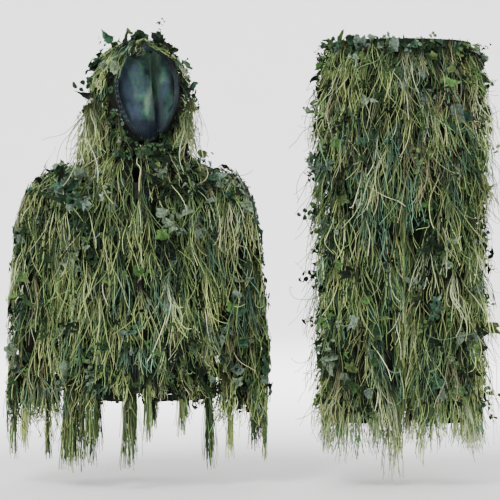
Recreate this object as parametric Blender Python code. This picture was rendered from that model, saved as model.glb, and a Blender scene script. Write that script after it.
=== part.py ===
"""Ghillie suit: a hooded jacket and a pair of trousers in thin cloth, covered in rows of hanging yarn.

Metres, +Z up, the front faces -Y. The origin is the centre of the jacket's neck opening, so most of
the suit hangs below zero. Left and right are the wearer's: right is -X, left is +X.
"""

import math

import bmesh
import bpy
import numpy as np

# Driving dimensions, in metres
GAP = 0.0004  # air between neighbouring pieces
CLOTH = 0.002  # outer cloth with its seam allowance
LINING = 0.0012
LINING_INSET = 0.0055  # the hood lining hangs this far inside the hood's outer face
LINING_BOTTOM = 0.018

CHEST_HALF_WIDTH = 0.190
CHEST_HALF_DEPTH = 0.135
NECK_RADIUS = 0.086
JACKET_LENGTH = 0.640  # neck seam to hem casing
FRONT_EDGE = 0.012  # each front panel stops this far from the centre line

SLEEVE_START_X = 0.146  # the sleeve starts inside the trunk, in a round armhole that it turns in
ARMHOLE_Z = -0.150
ARMHOLE_RADIUS = 0.080
ARMHOLE_CLEAR = 0.0025
CUFF_HALF_WIDTH = 0.046

HOOD_HEIGHT = 0.286
HOOD_HALF_WIDTH = 0.112
HOOD_HALF_DEPTH = 0.126
HOOD_TURN = math.radians(16.0)  # the hood looks a little towards the wearer's left
FACE_HALF_WIDTH = 0.080
FACE_CENTRE_Z = 0.150
FACE_TOP = 0.106  # from the centre up
FACE_CHIN = 0.132  # from the centre down
RIM_RADIUS = 0.0055

TROUSERS_X = 0.690
WAIST_TOP = 0.277
WAIST_HALF_WIDTH = 0.184
WAIST_HALF_DEPTH = 0.115
HIP_HALF_WIDTH = 0.205
HIP_HALF_DEPTH = 0.122
CROTCH_Z = -0.066
ANKLE_Z = -0.700
LEG_HALF_WIDTH = 0.089
LEG_HALF_DEPTH = 0.104

CASING_THICK = 0.0034
CASING_WALL = 0.0009
CASING_HEIGHT = 0.018
WAIST_CASING_HEIGHT = 0.034

YARN_OFF = 0.0025  # a yarn row starts this far off the cloth
YARN_THICK = 0.0070
YARN_FLARE = 0.0190  # how much further out its lower edge stands
STEP = 0.0006  # keeps two rows of points on one backing apart

COLOURS = {
    "camo_cloth": (0.075, 0.105, 0.060, 0.90),
    "mesh_lining": (0.045, 0.095, 0.090, 0.85),
    "yarn": (0.260, 0.330, 0.110, 0.95),
    "leaf_cloth": (0.060, 0.110, 0.055, 0.80),
    "elastic": (0.020, 0.022, 0.020, 0.80),
    "zip_tape": (0.030, 0.040, 0.028, 0.85),
    "zip_plastic": (0.020, 0.024, 0.018, 0.45),
    "zip_metal": (0.110, 0.115, 0.100, 0.40),
}


def clear_scene():
    for old in list(bpy.data.objects):
        bpy.data.objects.remove(old, do_unlink=True)


def material(name):
    found = bpy.data.materials.get(name)
    if found:
        return found
    red, green, blue, rough = COLOURS[name]
    mat = bpy.data.materials.new(name)
    mat.use_nodes = True
    shader = mat.node_tree.nodes["Principled BSDF"]
    shader.inputs["Base Color"].default_value = (red, green, blue, 1.0)
    shader.inputs["Roughness"].default_value = rough
    shader.inputs["Metallic"].default_value = 0.8 if name == "zip_metal" else 0.0
    mat.diffuse_color = (red, green, blue, 1.0)
    return mat


def pivot(name, location):
    """An empty on a joint's axis, the parent of everything that moves with that joint."""
    empty = bpy.data.objects.new(name, None)
    empty.location = location
    bpy.context.collection.objects.link(empty)
    return empty


def add_object(name, verts, faces, finish, parent=None, smooth=True):
    """One closed solid from points in world metres, placed under its parent's origin."""
    origin = np.array(parent.location) if parent else np.zeros(3)
    mesh = bpy.data.meshes.new(name)
    mesh.from_pydata((np.asarray(verts, float) - origin).tolist(), [], faces)
    work = bmesh.new()
    work.from_mesh(mesh)
    bmesh.ops.recalc_face_normals(work, faces=work.faces)
    if work.calc_volume(signed=True) < 0:
        bmesh.ops.reverse_faces(work, faces=work.faces)
    work.to_mesh(mesh)
    work.free()
    if smooth:
        mesh.shade_smooth()
        mesh.set_sharp_from_angle(angle=math.radians(40))
    mesh.materials.append(material(finish))
    obj = bpy.data.objects.new(name, mesh)
    bpy.context.collection.objects.link(obj)
    obj.parent = parent
    return obj


def skin(name, outer, inner, finish, ring=False, cap_end=False, parent=None):
    """A solid between two grids of points [row][column]; ring closes the columns into a tube."""
    outer, inner = np.asarray(outer, float), np.asarray(inner, float)
    rows, cols = outer.shape[:2]
    verts = np.concatenate([outer.reshape(-1, 3), inner.reshape(-1, 3)])
    inside = rows * cols

    def at(row, col):
        return row * cols + col % cols

    faces = []
    for row in range(rows - 1):
        for col in range(cols if ring else cols - 1):
            quad = [at(row, col), at(row, col + 1), at(row + 1, col + 1), at(row + 1, col)]
            faces.append(quad)
            faces.append([v + inside for v in reversed(quad)])
    for col in range(cols if ring else cols - 1):
        a, b = at(0, col), at(0, col + 1)
        faces.append([b, a, a + inside, b + inside])
        if not cap_end:
            a, b = at(rows - 1, col), at(rows - 1, col + 1)
            faces.append([a, b, b + inside, a + inside])
    if cap_end:
        last = [at(rows - 1, col) for col in range(cols)]
        faces.append(last)
        faces.append([v + inside for v in reversed(last)])
    if not ring:
        for row in range(rows - 1):
            a, b = at(row, 0), at(row + 1, 0)
            faces.append([a, b, b + inside, a + inside])
            a, b = at(row, cols - 1), at(row + 1, cols - 1)
            faces.append([b, a, a + inside, b + inside])
    return add_object(name, verts, faces, finish, parent)


def bar(name, loops, finish, parent=None, smooth=True):
    """A solid bar through closed loops of points, with flat ends."""
    loops = np.asarray(loops, float)
    rows, cols = loops.shape[:2]
    faces = [list(range(cols))[::-1], list(range((rows - 1) * cols, rows * cols))]
    for row in range(rows - 1):
        for col in range(cols):
            nxt = (col + 1) % cols
            faces.append([row * cols + col, row * cols + nxt, (row + 1) * cols + nxt, (row + 1) * cols + col])
    return add_object(name, loops.reshape(-1, 3), faces, finish, parent, smooth)


def box(name, low, high, finish, parent=None):
    (x0, y0, z0), (x1, y1, z1) = low, high
    loops = [[(x, y0, z0), (x, y1, z0), (x, y1, z1), (x, y0, z1)] for x in (x0, x1)]
    return bar(name, loops, finish, parent, smooth=False)


def helper(obj):
    """A cutter or joining shape that only a modifier reads."""
    obj.hide_render = True
    obj.display_type = "WIRE"
    return obj


def boolean(obj, other, operation):
    mod = obj.modifiers.new(operation.lower(), "BOOLEAN")
    mod.operation = operation
    mod.solver = "EXACT"
    mod.object = helper(other)


class Tube:
    """A limb or trunk of cloth: ovals strung along a line.

    Each station is (distance along, centre x, y, z, tilt, half width, half depth). The tilt turns the
    oval's wide axis from +X up towards +Z. Side -1 mirrors the tube about the plane x = middle.
    """

    def __init__(self, stations, side=1, middle=0.0):
        table = np.array(stations, float)
        self.along, self.values = table[:, 0], table[:, 1:]
        self.side, self.middle = side, middle

    def section(self, s):
        """Values at s, carried straight on below the last station."""
        end = self.along[-1]
        inside = min(s, end)
        found = np.array([np.interp(inside, self.along, column) for column in self.values.T])
        if s > end:
            step = self.values[-1, :3] - self.values[-2, :3]
            found[:3] += step / np.linalg.norm(step) * (s - end)
        return found

    def point(self, s, angle, off=0.0):
        x, y, z, tilt, wide, deep = self.section(s)
        across = (wide + off) * math.cos(angle)
        return (
            self.middle + self.side * (x + across * math.cos(tilt)),
            y + (deep + off) * math.sin(angle),
            z + across * math.sin(tilt),
        )

    def cloth(self, name, angles, finish, thick=CLOTH, parent=None, **kinds):
        """A piece of the tube's cloth, full length; angles is a list or a function of s."""
        grids = [[[self.point(s, a, off) for a in pick(angles, s)] for s in self.along] for off in (0.0, -thick)]
        return skin(name, grids[0], grids[1], finish, parent=parent, **kinds)


def pick(angles, s):
    return angles(s) if callable(angles) else angles


def full_turn(count, start=0.0):
    return [start + math.tau * i / count for i in range(count)]


def arc(start_deg, end_deg, count):
    return [math.radians(a) for a in np.linspace(start_deg, end_deg, count)]


def yarn_row(name, tube, start, lengths, angles, parent=None, tooth=0.022, last_tooth=None, seed=0):
    """Rows of yarn bundles on one backing: each row flares out and ends in ragged points.

    The backing lies against the cloth; the last row's own back stands off with it.
    """
    rng = np.random.default_rng(seed)
    stops = np.concatenate([[start], start + np.cumsum(lengths)])
    outer, inner = [], []
    for row, (top, low) in enumerate(zip(stops[:-1], stops[1:])):
        is_last = row == len(lengths) - 1
        ragged = last_tooth if last_tooth and is_last else tooth
        droop = [ragged * (0.25 + 0.75 * rng.random()) * (i % 2) for i in range(len(angles))]
        bends = [s for s in tube.along if top + 0.012 < s < low - 0.012]
        for s in [top, *bends, low]:
            share = (s - top) / (low - top)
            hang = droop if s == low else [0.0] * len(angles)
            stand = YARN_OFF + YARN_THICK + YARN_FLARE * share
            outer.append([tube.point(s + d, a, stand) for a, d in zip(angles, hang)])
            back = YARN_OFF + (YARN_FLARE * 0.85 * share if is_last else 0.0)
            under = STEP if row and s == top else 0.0
            hang = hang if is_last else [0.0] * len(angles)
            inner.append([tube.point(s + d + under, a, back) for a, d in zip(angles, hang)])
    return skin(name, outer, inner, "yarn", parent=parent)


def casing(name, tube, s, height, angles, finish, parent=None):
    """A flat fabric tunnel along an arc, open at both ends."""
    outer, inner = [], []
    for a in angles:
        outer.append(flat_loop(tube, s, height, a, 0.0, CASING_THICK))
        inner.append(flat_loop(tube, s, height, a, CASING_WALL, CASING_THICK))
    return skin(name, outer, inner, finish, ring=True, parent=parent)


def flat_loop(tube, s, height, angle, inset, thick):
    """The four corners of a flat band's section, from s down to s + height."""
    corners = [(s + inset, -inset), (s + height - inset, -inset)]
    corners += [(s + height - inset, inset - thick), (s + inset, inset - thick)]
    return [tube.point(c, angle, off) for c, off in corners]


def elastic(name, tube, s, height, angles, parent=None):
    """A flat elastic lying inside the casing of the same height."""
    inset = CASING_WALL + 0.0004
    loops = [flat_loop(tube, s, height, a, inset, CASING_THICK) for a in angles]
    return bar(name, loops, "elastic", parent)


# The jacket's trunk hangs straight below the chest, so that the zip runs on a straight line.
TRUNK = Tube(
    [
        (0.000, 0, 0, 0.000, 0, NECK_RADIUS, NECK_RADIUS),
        (0.020, 0, 0, -0.020, 0, 0.112, 0.099),
        (0.045, 0, 0, -0.045, 0, 0.152, 0.115),
        (0.070, 0, 0, -0.070, 0, 0.178, 0.128),
        (0.095, 0, 0, -0.095, 0, CHEST_HALF_WIDTH - 0.002, CHEST_HALF_DEPTH),
        (0.250, 0, 0, -0.250, 0, CHEST_HALF_WIDTH, CHEST_HALF_DEPTH),
        (JACKET_LENGTH, 0, 0, -JACKET_LENGTH, 0, CHEST_HALF_WIDTH + 0.012, CHEST_HALF_DEPTH),
    ]
)


def sleeve_tube(side):
    """Straight out through the armhole, over the shoulder and down to the cuff.

    The bend keeps clear of the trunk all round, so that the sleeve can swing about its armhole's axis.
    """
    rings = [
        (SLEEVE_START_X, ARMHOLE_Z, 90, ARMHOLE_RADIUS, ARMHOLE_RADIUS),
        (0.197, ARMHOLE_Z, 90, ARMHOLE_RADIUS, ARMHOLE_RADIUS),
        (0.2385, -0.1615, 60, 0.082, 0.079),
        (0.2515, -0.2065, 30, 0.062, 0.077),
        (0.2572, -0.2435, 12, 0.060, 0.075),
        (0.2585, -0.300, 8, 0.058, 0.074),
        (0.261, -0.400, 5, 0.055, 0.071),
        (0.270, -0.540, 4, 0.051, 0.064),
        (0.277, -0.655, 3, CUFF_HALF_WIDTH, 0.055),
    ]
    table, along = [], 0.0
    for index, (x, z, tilt, wide, deep) in enumerate(rings):
        if index:
            along += math.hypot(x - rings[index - 1][0], z - rings[index - 1][1])
        table.append((along, x, 0, z, math.radians(tilt), wide, deep))
    return Tube(table, side)


HOOD_BOTTOM = 0.013
HOOD_RINGS = (  # height, half width, half depth and centre y, from the neck to the crown
    (HOOD_BOTTOM, 0.090, 0.090, 0.000),
    (0.060, 0.104, 0.112, 0.004),
    (0.120, HOOD_HALF_WIDTH, HOOD_HALF_DEPTH, 0.006),
    (0.180, 0.109, 0.124, 0.008),
    (0.225, 0.094, 0.107, 0.008),
    (0.255, 0.070, 0.080, 0.008),
    (0.274, 0.042, 0.048, 0.008),
    (HOOD_HEIGHT, 0.012, 0.014, 0.008),
)


def hood_oval(z):
    """Half width, half depth and centre y of the hood at a height."""
    table = np.array(HOOD_RINGS)
    return [float(np.interp(z, table[:, 0], column)) for column in table[:, 1:].T]


def hood_grid(inset, bottom, ring):
    """Rings of a dome that lies a set depth inside the hood's outer face, from bottom to crown."""
    shrink = 1.0 - inset / HOOD_HEIGHT
    rows = []
    for z, wide, deep, centre in HOOD_RINGS:
        height = max(z, bottom) * shrink
        rows.append([((wide - inset) * math.cos(a), centre + (deep - inset) * math.sin(a), height) for a in ring])
    return rows


def hood_tube():
    """The hood's outer face as a tube, from the crown down to its neck edge."""
    return Tube([(HOOD_HEIGHT - z, 0, centre, z, 0, wide, deep) for z, wide, deep, centre in HOOD_RINGS[::-1]])


def turn_hood(obj):
    """Turns a hood piece about the neck's vertical line."""
    c, s = math.cos(HOOD_TURN), math.sin(HOOD_TURN)
    offset = obj.parent.location if obj.parent else (0.0, 0.0, 0.0)
    for v in obj.data.vertices:
        x, y = v.co.x + offset[0], v.co.y + offset[1]
        v.co.x, v.co.y = x * c - y * s - offset[0], x * s + y * c - offset[1]
    return obj


def face_curve(angle, grow=0.0):
    """The egg-shaped face opening seen from the front: rounded at the brow, narrow at the chin."""
    up = math.sin(angle)
    tall = (FACE_TOP if up > 0 else FACE_CHIN) + grow
    narrow = 1.0 - 0.22 * max(0.0, -up) ** 1.5
    return (FACE_HALF_WIDTH * narrow + grow) * math.cos(angle), FACE_CENTRE_Z + tall * up


def face_cutter(name, grow, parent):
    """An egg-shaped prism that opens the front of the hood."""
    outline = [face_curve(math.tau * i / 24, grow) for i in range(24)]
    loops = [[(x, y, z) for x, z in outline] for y in (-0.30, -0.004)]
    return turn_hood(bar(name, loops, "camo_cloth", parent))


def rim_path(count):
    """Centre line of the rim, up one side of the face from the chin and down the other."""
    path = []
    for angle in np.linspace(math.radians(-62), math.radians(242), count):
        x, z = face_curve(angle)
        wide, deep, centre = hood_oval(z)
        y = centre - deep * math.sqrt(max(0.0, 1.0 - (x / wide) ** 2))
        path.append((x, y, z))
    return np.array(path)


def swept(path, radius, sides):
    """Rings of points round a path."""
    rings = []
    tangents = np.gradient(path, axis=0)
    for centre, tangent in zip(path, tangents):
        tangent = tangent / np.linalg.norm(tangent)
        first = np.cross(tangent, (0.0, 1.0, 0.0))
        first /= np.linalg.norm(first)
        second = np.cross(tangent, first)
        turn = [math.tau * i / sides for i in range(sides)]
        rings.append([centre + radius * (math.cos(t) * first + math.sin(t) * second) for t in turn])
    return rings


def front_angles(side, count):
    """Columns of a front panel: a straight edge along the zip, out to the side seam."""

    def at(s):
        wide = TRUNK.section(s)[4]
        edge = -math.pi / 2 + math.asin(FRONT_EDGE / wide)
        seam = -GAP / wide
        turns = np.linspace(edge, seam, count)
        return [a if side > 0 else -math.pi - a for a in turns]

    return at


def armhole_cutter(name, side):
    radius = ARMHOLE_RADIUS + ARMHOLE_CLEAR
    ring = full_turn(24)
    loops = [[(side * x, radius * math.sin(a), ARMHOLE_Z + radius * math.cos(a)) for a in ring] for x in (0.11, 0.30)]
    return bar(name, loops, "camo_cloth")


def build_trunk():
    panels = [
        TRUNK.cloth("jacket_back_panel", arc(0.15, 179.85, 13), "camo_cloth"),
        TRUNK.cloth("right_front_panel", front_angles(-1, 7), "camo_cloth"),
        TRUNK.cloth("left_front_panel", front_angles(1, 7), "camo_cloth"),
    ]
    for side, word in ((-1, "right"), (1, "left")):
        cutter = armhole_cutter(f"{word}_armhole_cutter", side)
        boolean(panels[0], cutter, "DIFFERENCE")
        boolean(panels[1 if side < 0 else 2], cutter, "DIFFERENCE")
    band = Tube([(0.0, 0, 0, 0.0115, 0, 0.0885, 0.0885), (0.011, 0, 0, GAP, 0, 0.0885, 0.0885)])
    band.cloth("collar_band", arc(-81, 261, 19), "camo_cloth", thick=0.003)


def build_hem():
    below = Tube(
        [
            (0.0, 0, 0, -JACKET_LENGTH - GAP, 0, CHEST_HALF_WIDTH + 0.012, CHEST_HALF_DEPTH),
            (0.1, 0, 0, -JACKET_LENGTH - GAP - 0.1, 0, CHEST_HALF_WIDTH + 0.012, CHEST_HALF_DEPTH),
        ]
    )
    angles = arc(-86, 266, 22)
    casing("hem_casing", below, 0.0, CASING_HEIGHT, angles, "camo_cloth")
    elastic("hem_elastic", below, 0.0, CASING_HEIGHT, angles)


ZIP_TOP = -0.104  # centre of the closed slider
ZIP_BOTTOM = -0.630
ZIP_FRONT = -CHEST_HALF_DEPTH  # the zip lies just behind this plane
SLIDER_HALF = 0.007


def build_zip():
    tape_y = (ZIP_FRONT + 0.0045, ZIP_FRONT + 0.0053)
    teeth_y = (ZIP_FRONT + 0.0025, ZIP_FRONT + 0.0073)
    for side, word in ((-1, "right"), (1, "left")):
        low, high = sorted((side * 0.0042, side * 0.024))
        box(
            f"{word}_zip_tape", (low, tape_y[0], -JACKET_LENGTH + 0.001), (high, tape_y[1], ZIP_TOP + 0.009),
            "zip_tape",
        )
        outline = teeth_outline(side)
        loops = [[(x, y, z) for x, z in outline] for y in teeth_y]
        bar(f"{word}_zip_teeth", loops, "zip_plastic", smooth=False)
    box(
        "zip_bottom_box", (-0.0036, teeth_y[0], -JACKET_LENGTH + 0.001), (0.0036, teeth_y[1], ZIP_BOTTOM - GAP),
        "zip_plastic",
    )
    build_slider()


def teeth_outline(side):
    """A row of teeth as one comb: straight along the tape, toothed towards the other row."""
    top, pitch = ZIP_TOP - 0.009, 0.016
    count = int((top - ZIP_BOTTOM) / pitch)
    points = [(side * 0.0038, top), (side * 0.0038, ZIP_BOTTOM)]
    for i in range(count * 2, -1, -1):
        reach = 0.0013 if i % 2 else 0.0022
        points.append((side * reach, top + (ZIP_BOTTOM - top) * i / (2 * count)))
    return points


def build_slider():
    hold = pivot("zip_slider_pivot", (0.0, ZIP_FRONT, ZIP_TOP))
    z = ZIP_TOP
    front, back = ZIP_FRONT + 0.0016, ZIP_FRONT + 0.0084
    low, high = (-0.0062, ZIP_FRONT, z - SLIDER_HALF), (0.0062, front, z + SLIDER_HALF)
    slider = box("zip_slider", low, high, "zip_metal", hold)
    shapes = {
        "slider_back_plate": ((-0.0062, back, z - SLIDER_HALF), (0.0062, back + 0.0014, z + SLIDER_HALF)),
        "slider_web": ((-0.0008, ZIP_FRONT + 0.0004, z - 0.0062), (0.0008, back + 0.0010, z + 0.0062)),
        "slider_lower_post": ((-0.001, ZIP_FRONT - 0.0040, z - 0.0055), (0.001, ZIP_FRONT + 0.0006, z - 0.0043)),
        "slider_upper_post": ((-0.001, ZIP_FRONT - 0.0040, z + 0.0043), (0.001, ZIP_FRONT + 0.0006, z + 0.0055)),
        "slider_bridge": ((-0.0011, ZIP_FRONT - 0.0046, z - 0.0056), (0.0011, ZIP_FRONT - 0.0034, z + 0.0056)),
    }
    for name, (low, high) in shapes.items():
        boolean(slider, box(name, low, high, "zip_metal", hold), "UNION")
    swing = pivot("zip_pull_pivot", (0.0, ZIP_FRONT - 0.0017, z))
    low_y, high_y = ZIP_FRONT - 0.0024, ZIP_FRONT - 0.0010
    outline = [(-0.0046, 0.0007), (0.0046, 0.0007), (0.0046, -0.034), (-0.0046, -0.034)]
    window = [(-0.0024, -0.0007), (0.0024, -0.0007), (0.0024, -0.0085), (-0.0024, -0.0085)]
    grids = [[[(x, y, z + h) for x, h in loop] for y in (low_y, high_y)] for loop in (outline, window)]
    skin("zip_pull", grids[0], grids[1], "zip_metal", ring=True, parent=swing)


def build_sleeve(side, word):
    tube = sleeve_tube(side)
    hold = pivot(f"{word}_sleeve_pivot", (side * SLEEVE_START_X, 0.0, ARMHOLE_Z))
    end = tube.along[-1]
    tube.cloth(f"{word}_sleeve", full_turn(16), "camo_cloth", parent=hold, ring=True)
    cuff = arc(184, 536, 13)
    casing(f"{word}_cuff_casing", tube, end + GAP, CASING_HEIGHT, cuff, "camo_cloth", hold)
    elastic(f"{word}_cuff_elastic", tube, end + GAP, CASING_HEIGHT, cuff, hold)
    outer = arc(-100, 100, 13)
    yarn_row(f"{word}_sleeve_yarn", tube, 0.062, [0.120, 0.125, 0.100, 0.100], outer, hold, seed=20 + side)
    yarn_row(f"{word}_cuff_fringe", tube, 0.495, [0.175], outer, hold, last_tooth=0.09, seed=24 + side)


def build_hood():
    hold = pivot("hood_pivot", (0.0, 0.101, 0.013))
    ring = full_turn(18)
    shell_grids = [hood_grid(inset, HOOD_BOTTOM, ring) for inset in (0.0, CLOTH)]
    lining_grids = [hood_grid(inset, LINING_BOTTOM, ring) for inset in (LINING_INSET, LINING_INSET + LINING)]
    hood = turn_hood(skin("hood_shell", *shell_grids, "camo_cloth", ring=True, cap_end=True, parent=hold))
    lining = turn_hood(skin("hood_lining", *lining_grids, "mesh_lining", ring=True, cap_end=True, parent=hold))
    boolean(hood, face_cutter("hood_face_cutter", RIM_RADIUS + 0.0010, hold), "DIFFERENCE")
    boolean(lining, face_cutter("lining_face_cutter", RIM_RADIUS + 0.0030, hold), "DIFFERENCE")
    path = rim_path(21)
    rim = skin(
        "hood_rim_casing", swept(path, RIM_RADIUS, 6), swept(path, RIM_RADIUS - 0.0012, 6), "mesh_lining",
        ring=True, parent=hold,
    )
    turn_hood(rim)
    turn_hood(bar("hood_rim_cord", swept(path, 0.0022, 6), "elastic", hold))
    shell = hood_tube()
    rows = (("hood_right_yarn", 212, 128, 31), ("hood_left_yarn", -32, 52, 32), ("hood_back_yarn", 124, 56, 33))
    for name, start, end, seed in rows:
        row = yarn_row(name, shell, 0.075, [0.085, 0.095], arc(start, end, 9), hold, seed=seed)
        turn_hood(row)
    build_crown_leaf(hold)


def build_crown_leaf(hold):
    """A cut-out cloth leaf standing on the crown, with three lobes."""
    outline = [(-0.004, 0.0), (-0.016, 0.007), (-0.007, 0.010), (-0.010, 0.019), (0.0, 0.014)]
    outline += [(0.004, 0.022), (0.007, 0.011), (0.017, 0.009), (0.004, 0.0)]
    base = HOOD_HEIGHT + GAP
    loops = [[(x, y, base + z) for x, z in outline] for y in (0.0, 0.0015)]
    bar("crown_leaf", loops, "leaf_cloth", hold, smooth=False)


def build_jacket_yarn():
    for side, word in ((-1, "right"), (1, "left")):
        sweep = (-85, -35) if side > 0 else (265, 215)
        near = arc(*sweep, 7)
        for row in range(3):
            name = f"{word}_front_yarn_{row + 1}"
            yarn_row(name, TRUNK, 0.040 + 0.148 * row, [0.185], near, seed=row * 2 + side + 5)
        yarn_row(f"{word}_hem_fringe", TRUNK, 0.484, [0.225], near, tooth=0.12, seed=side + 12)
    back = arc(38, 142, 13)
    for row in range(3):
        yarn_row(f"back_yarn_{row + 1}", TRUNK, 0.055 + 0.143 * row, [0.180], back, seed=row + 50)
    yarn_row("back_hem_fringe", TRUNK, 0.484, [0.225], back, tooth=0.12, seed=57)


def build_trousers():
    away = pivot("trousers_pivot", (TROUSERS_X, 0.0, 0.0))
    top = WAIST_TOP - WAIST_CASING_HEIGHT - GAP
    length = top - CROTCH_Z
    hips = Tube(
        [
            (0.0, 0, 0, top, 0, WAIST_HALF_WIDTH, WAIST_HALF_DEPTH),
            (0.10, 0, 0, top - 0.10, 0, HIP_HALF_WIDTH - 0.006, HIP_HALF_DEPTH - 0.001),
            (length, 0, 0, CROTCH_Z, 0, HIP_HALF_WIDTH, HIP_HALF_DEPTH),
        ],
        middle=TROUSERS_X,
    )
    hips.cloth("back_hip_panel", arc(0.12, 179.88, 13), "camo_cloth", parent=away)
    hips.cloth("front_hip_panel", arc(-0.12, -179.88, 13), "camo_cloth", parent=away)
    band = [(s, 0, 0, WAIST_TOP - s, 0, WAIST_HALF_WIDTH, WAIST_HALF_DEPTH) for s in (0.0, 0.1)]
    waist = Tube(band, middle=TROUSERS_X)
    around = arc(92, 448, 22)
    casing("waist_casing", waist, 0.0, WAIST_CASING_HEIGHT, around, "camo_cloth", away)
    elastic("waist_elastic", waist, 0.0, WAIST_CASING_HEIGHT, around, away)
    yarn_row("front_hip_yarn", hips, 0.012, [0.145, 0.150], arc(-24, -156, 15), away, seed=61)
    yarn_row("back_hip_yarn", hips, 0.012, [0.145, 0.150], arc(24, 156, 15), away, seed=62)
    for side, word in ((-1, "right"), (1, "left")):
        build_leg(side, word)


LEG_CENTRE = 0.103  # each leg's own middle, from the middle of the trousers
LEG_TOP = CROTCH_Z - 0.001
INSEAM_X = 0.0035  # the inner leg seams stop short of the middle
LEG_CLEAR = 0.008  # the leg's top is this far inside the hips, so that it can swing under them
BLEND_START, BLEND_END = 0.045, 0.150  # below the top, where the half oval turns into the leg's own


class Leg(Tube):
    """A trouser leg: half of the hips' oval at the top, running into an oval of its own."""

    def __init__(self, side):
        rings = [
            (LEG_TOP, 0.0955, 0.110),
            (LEG_TOP - BLEND_START, 0.0945, 0.106),
            (LEG_TOP - 0.075, 0.0940, 0.1055),
            (LEG_TOP - 0.110, 0.0930, 0.105),
            (LEG_TOP - BLEND_END, LEG_HALF_WIDTH + 0.003, LEG_HALF_DEPTH),
            (-0.450, LEG_HALF_WIDTH, LEG_HALF_DEPTH - 0.004),
            (ANKLE_Z, LEG_HALF_WIDTH - 0.003, LEG_HALF_DEPTH - 0.008),
        ]
        stations = [(LEG_TOP - z, LEG_CENTRE, 0, z, 0, wide, deep) for z, wide, deep in rings]
        super().__init__(stations, side, TROUSERS_X)

    def half_hip(self, s, angle, off):
        """A half oval inside the hips, closed by a straight inner seam, that tapers below its top."""
        taper = 0.10 * min(s, BLEND_END)
        wide = HIP_HALF_WIDTH - CLOTH - LEG_CLEAR - taper + off
        deep = HIP_HALF_DEPTH - CLOTH - LEG_CLEAR - taper + off
        turn = (angle + math.pi) % math.tau - math.pi
        corner = math.radians(121)
        if abs(turn) < corner:
            swing = turn / corner * math.pi / 2
            x, y = max(wide * math.cos(swing), INSEAM_X - off), deep * math.sin(swing)
        else:
            x, y = INSEAM_X - off, math.copysign(deep * (math.pi - abs(turn)) / (math.pi - corner), turn)
        return self.middle + self.side * x, y, LEG_TOP - s

    def point(self, s, angle, off=0.0):
        oval = np.array(super().point(s, angle, off))
        share = min(1.0, max(0.0, (s - BLEND_START) / (BLEND_END - BLEND_START)))
        return tuple(np.array(self.half_hip(s, angle, off)) * (1.0 - share) + oval * share)


def build_leg(side, word):
    tube = Leg(side)
    hold = pivot(f"{word}_leg_pivot", (TROUSERS_X + side * LEG_CENTRE, 0.0, LEG_TOP))
    tube.cloth(f"{word}_leg", full_turn(14), "camo_cloth", parent=hold, ring=True)
    end = tube.along[-1] + GAP
    ankle = arc(183, 537, 15)
    casing(f"{word}_ankle_casing", tube, end, CASING_HEIGHT, ankle, "camo_cloth", hold)
    elastic(f"{word}_ankle_elastic", tube, end, CASING_HEIGHT, ankle, hold)
    sweep = arc(-118, 118, 17)
    yarn_row(f"{word}_leg_yarn", tube, 0.075, [0.115, 0.135, 0.140, 0.135], sweep, hold, seed=70 + side)
    yarn_row(f"{word}_ankle_fringe", tube, 0.590, [0.115], sweep, hold, last_tooth=0.07, seed=74 + side)


clear_scene()
build_trunk()
build_hem()
build_zip()
for wearer_side, wearer_word in ((-1, "right"), (1, "left")):
    build_sleeve(wearer_side, wearer_word)
build_hood()
build_jacket_yarn()
build_trousers()
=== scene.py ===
"""The ghillie suit around its CAD parts: cloth, bundles of yarn, cut-out cloth leaves, and the studio.

Metres, +Z up, the front faces -Y. Right is the wearer's right, which is -X. Every cloth and yarn piece
is grown from the same tubes of ovals that the CAD solids follow.
"""

import math

import bpy
import numpy as np
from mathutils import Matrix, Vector


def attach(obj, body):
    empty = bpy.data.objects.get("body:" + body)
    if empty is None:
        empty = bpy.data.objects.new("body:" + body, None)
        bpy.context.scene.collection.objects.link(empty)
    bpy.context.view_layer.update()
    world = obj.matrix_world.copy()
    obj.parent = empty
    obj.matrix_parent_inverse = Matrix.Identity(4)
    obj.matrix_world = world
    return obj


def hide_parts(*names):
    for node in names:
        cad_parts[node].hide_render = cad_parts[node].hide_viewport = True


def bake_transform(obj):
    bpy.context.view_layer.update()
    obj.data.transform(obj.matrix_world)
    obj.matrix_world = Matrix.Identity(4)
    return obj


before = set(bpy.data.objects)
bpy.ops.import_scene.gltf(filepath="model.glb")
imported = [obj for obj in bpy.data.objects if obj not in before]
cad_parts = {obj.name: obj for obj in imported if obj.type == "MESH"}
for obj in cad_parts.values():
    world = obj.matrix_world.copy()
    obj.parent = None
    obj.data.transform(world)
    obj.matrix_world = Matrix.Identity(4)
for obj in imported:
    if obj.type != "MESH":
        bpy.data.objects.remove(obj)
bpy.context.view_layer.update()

# Sizes that repeat the CAD's driving dimensions, in metres
CHEST_HALF_DEPTH = 0.135
HEM_HALF_WIDTH = 0.202
TAPE_EDGE = 0.012  # from the middle of the zip to a front panel's edge
COLLAR_TOP, COLLAR_TALL = 0.0115, 0.0111
JACKET_LENGTH = 0.640
ARMHOLE_Z, ARMHOLE_RADIUS = -0.150, 0.0825
ARMHOLE_X = 0.11  # the armholes lie beyond this on both sides
HOOD_TURN = math.radians(16.0)
FACE_HALF_WIDTH = 0.080
FACE_CENTRE_Z = 0.150
FACE_TOP = 0.106
FACE_CHIN = 0.132
FACE_TAPER = 0.22  # how much narrower the opening gets towards the chin
RIM_RADIUS = 0.0055
TROUSERS_X = 0.690
WAIST_TOP = 0.277
WAIST_CASING = 0.034
WAIST_OVAL = (0.184, 0.115)
CASING = 0.018
CASING_THICK = 0.0034
CROTCH_Z = -0.066
LEG_CENTRE = 0.103
GAP = 0.0004
HOOD_FLAT, LINING_FLAT = (0.62, 0.30), (0.46, 0.27)

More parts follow.
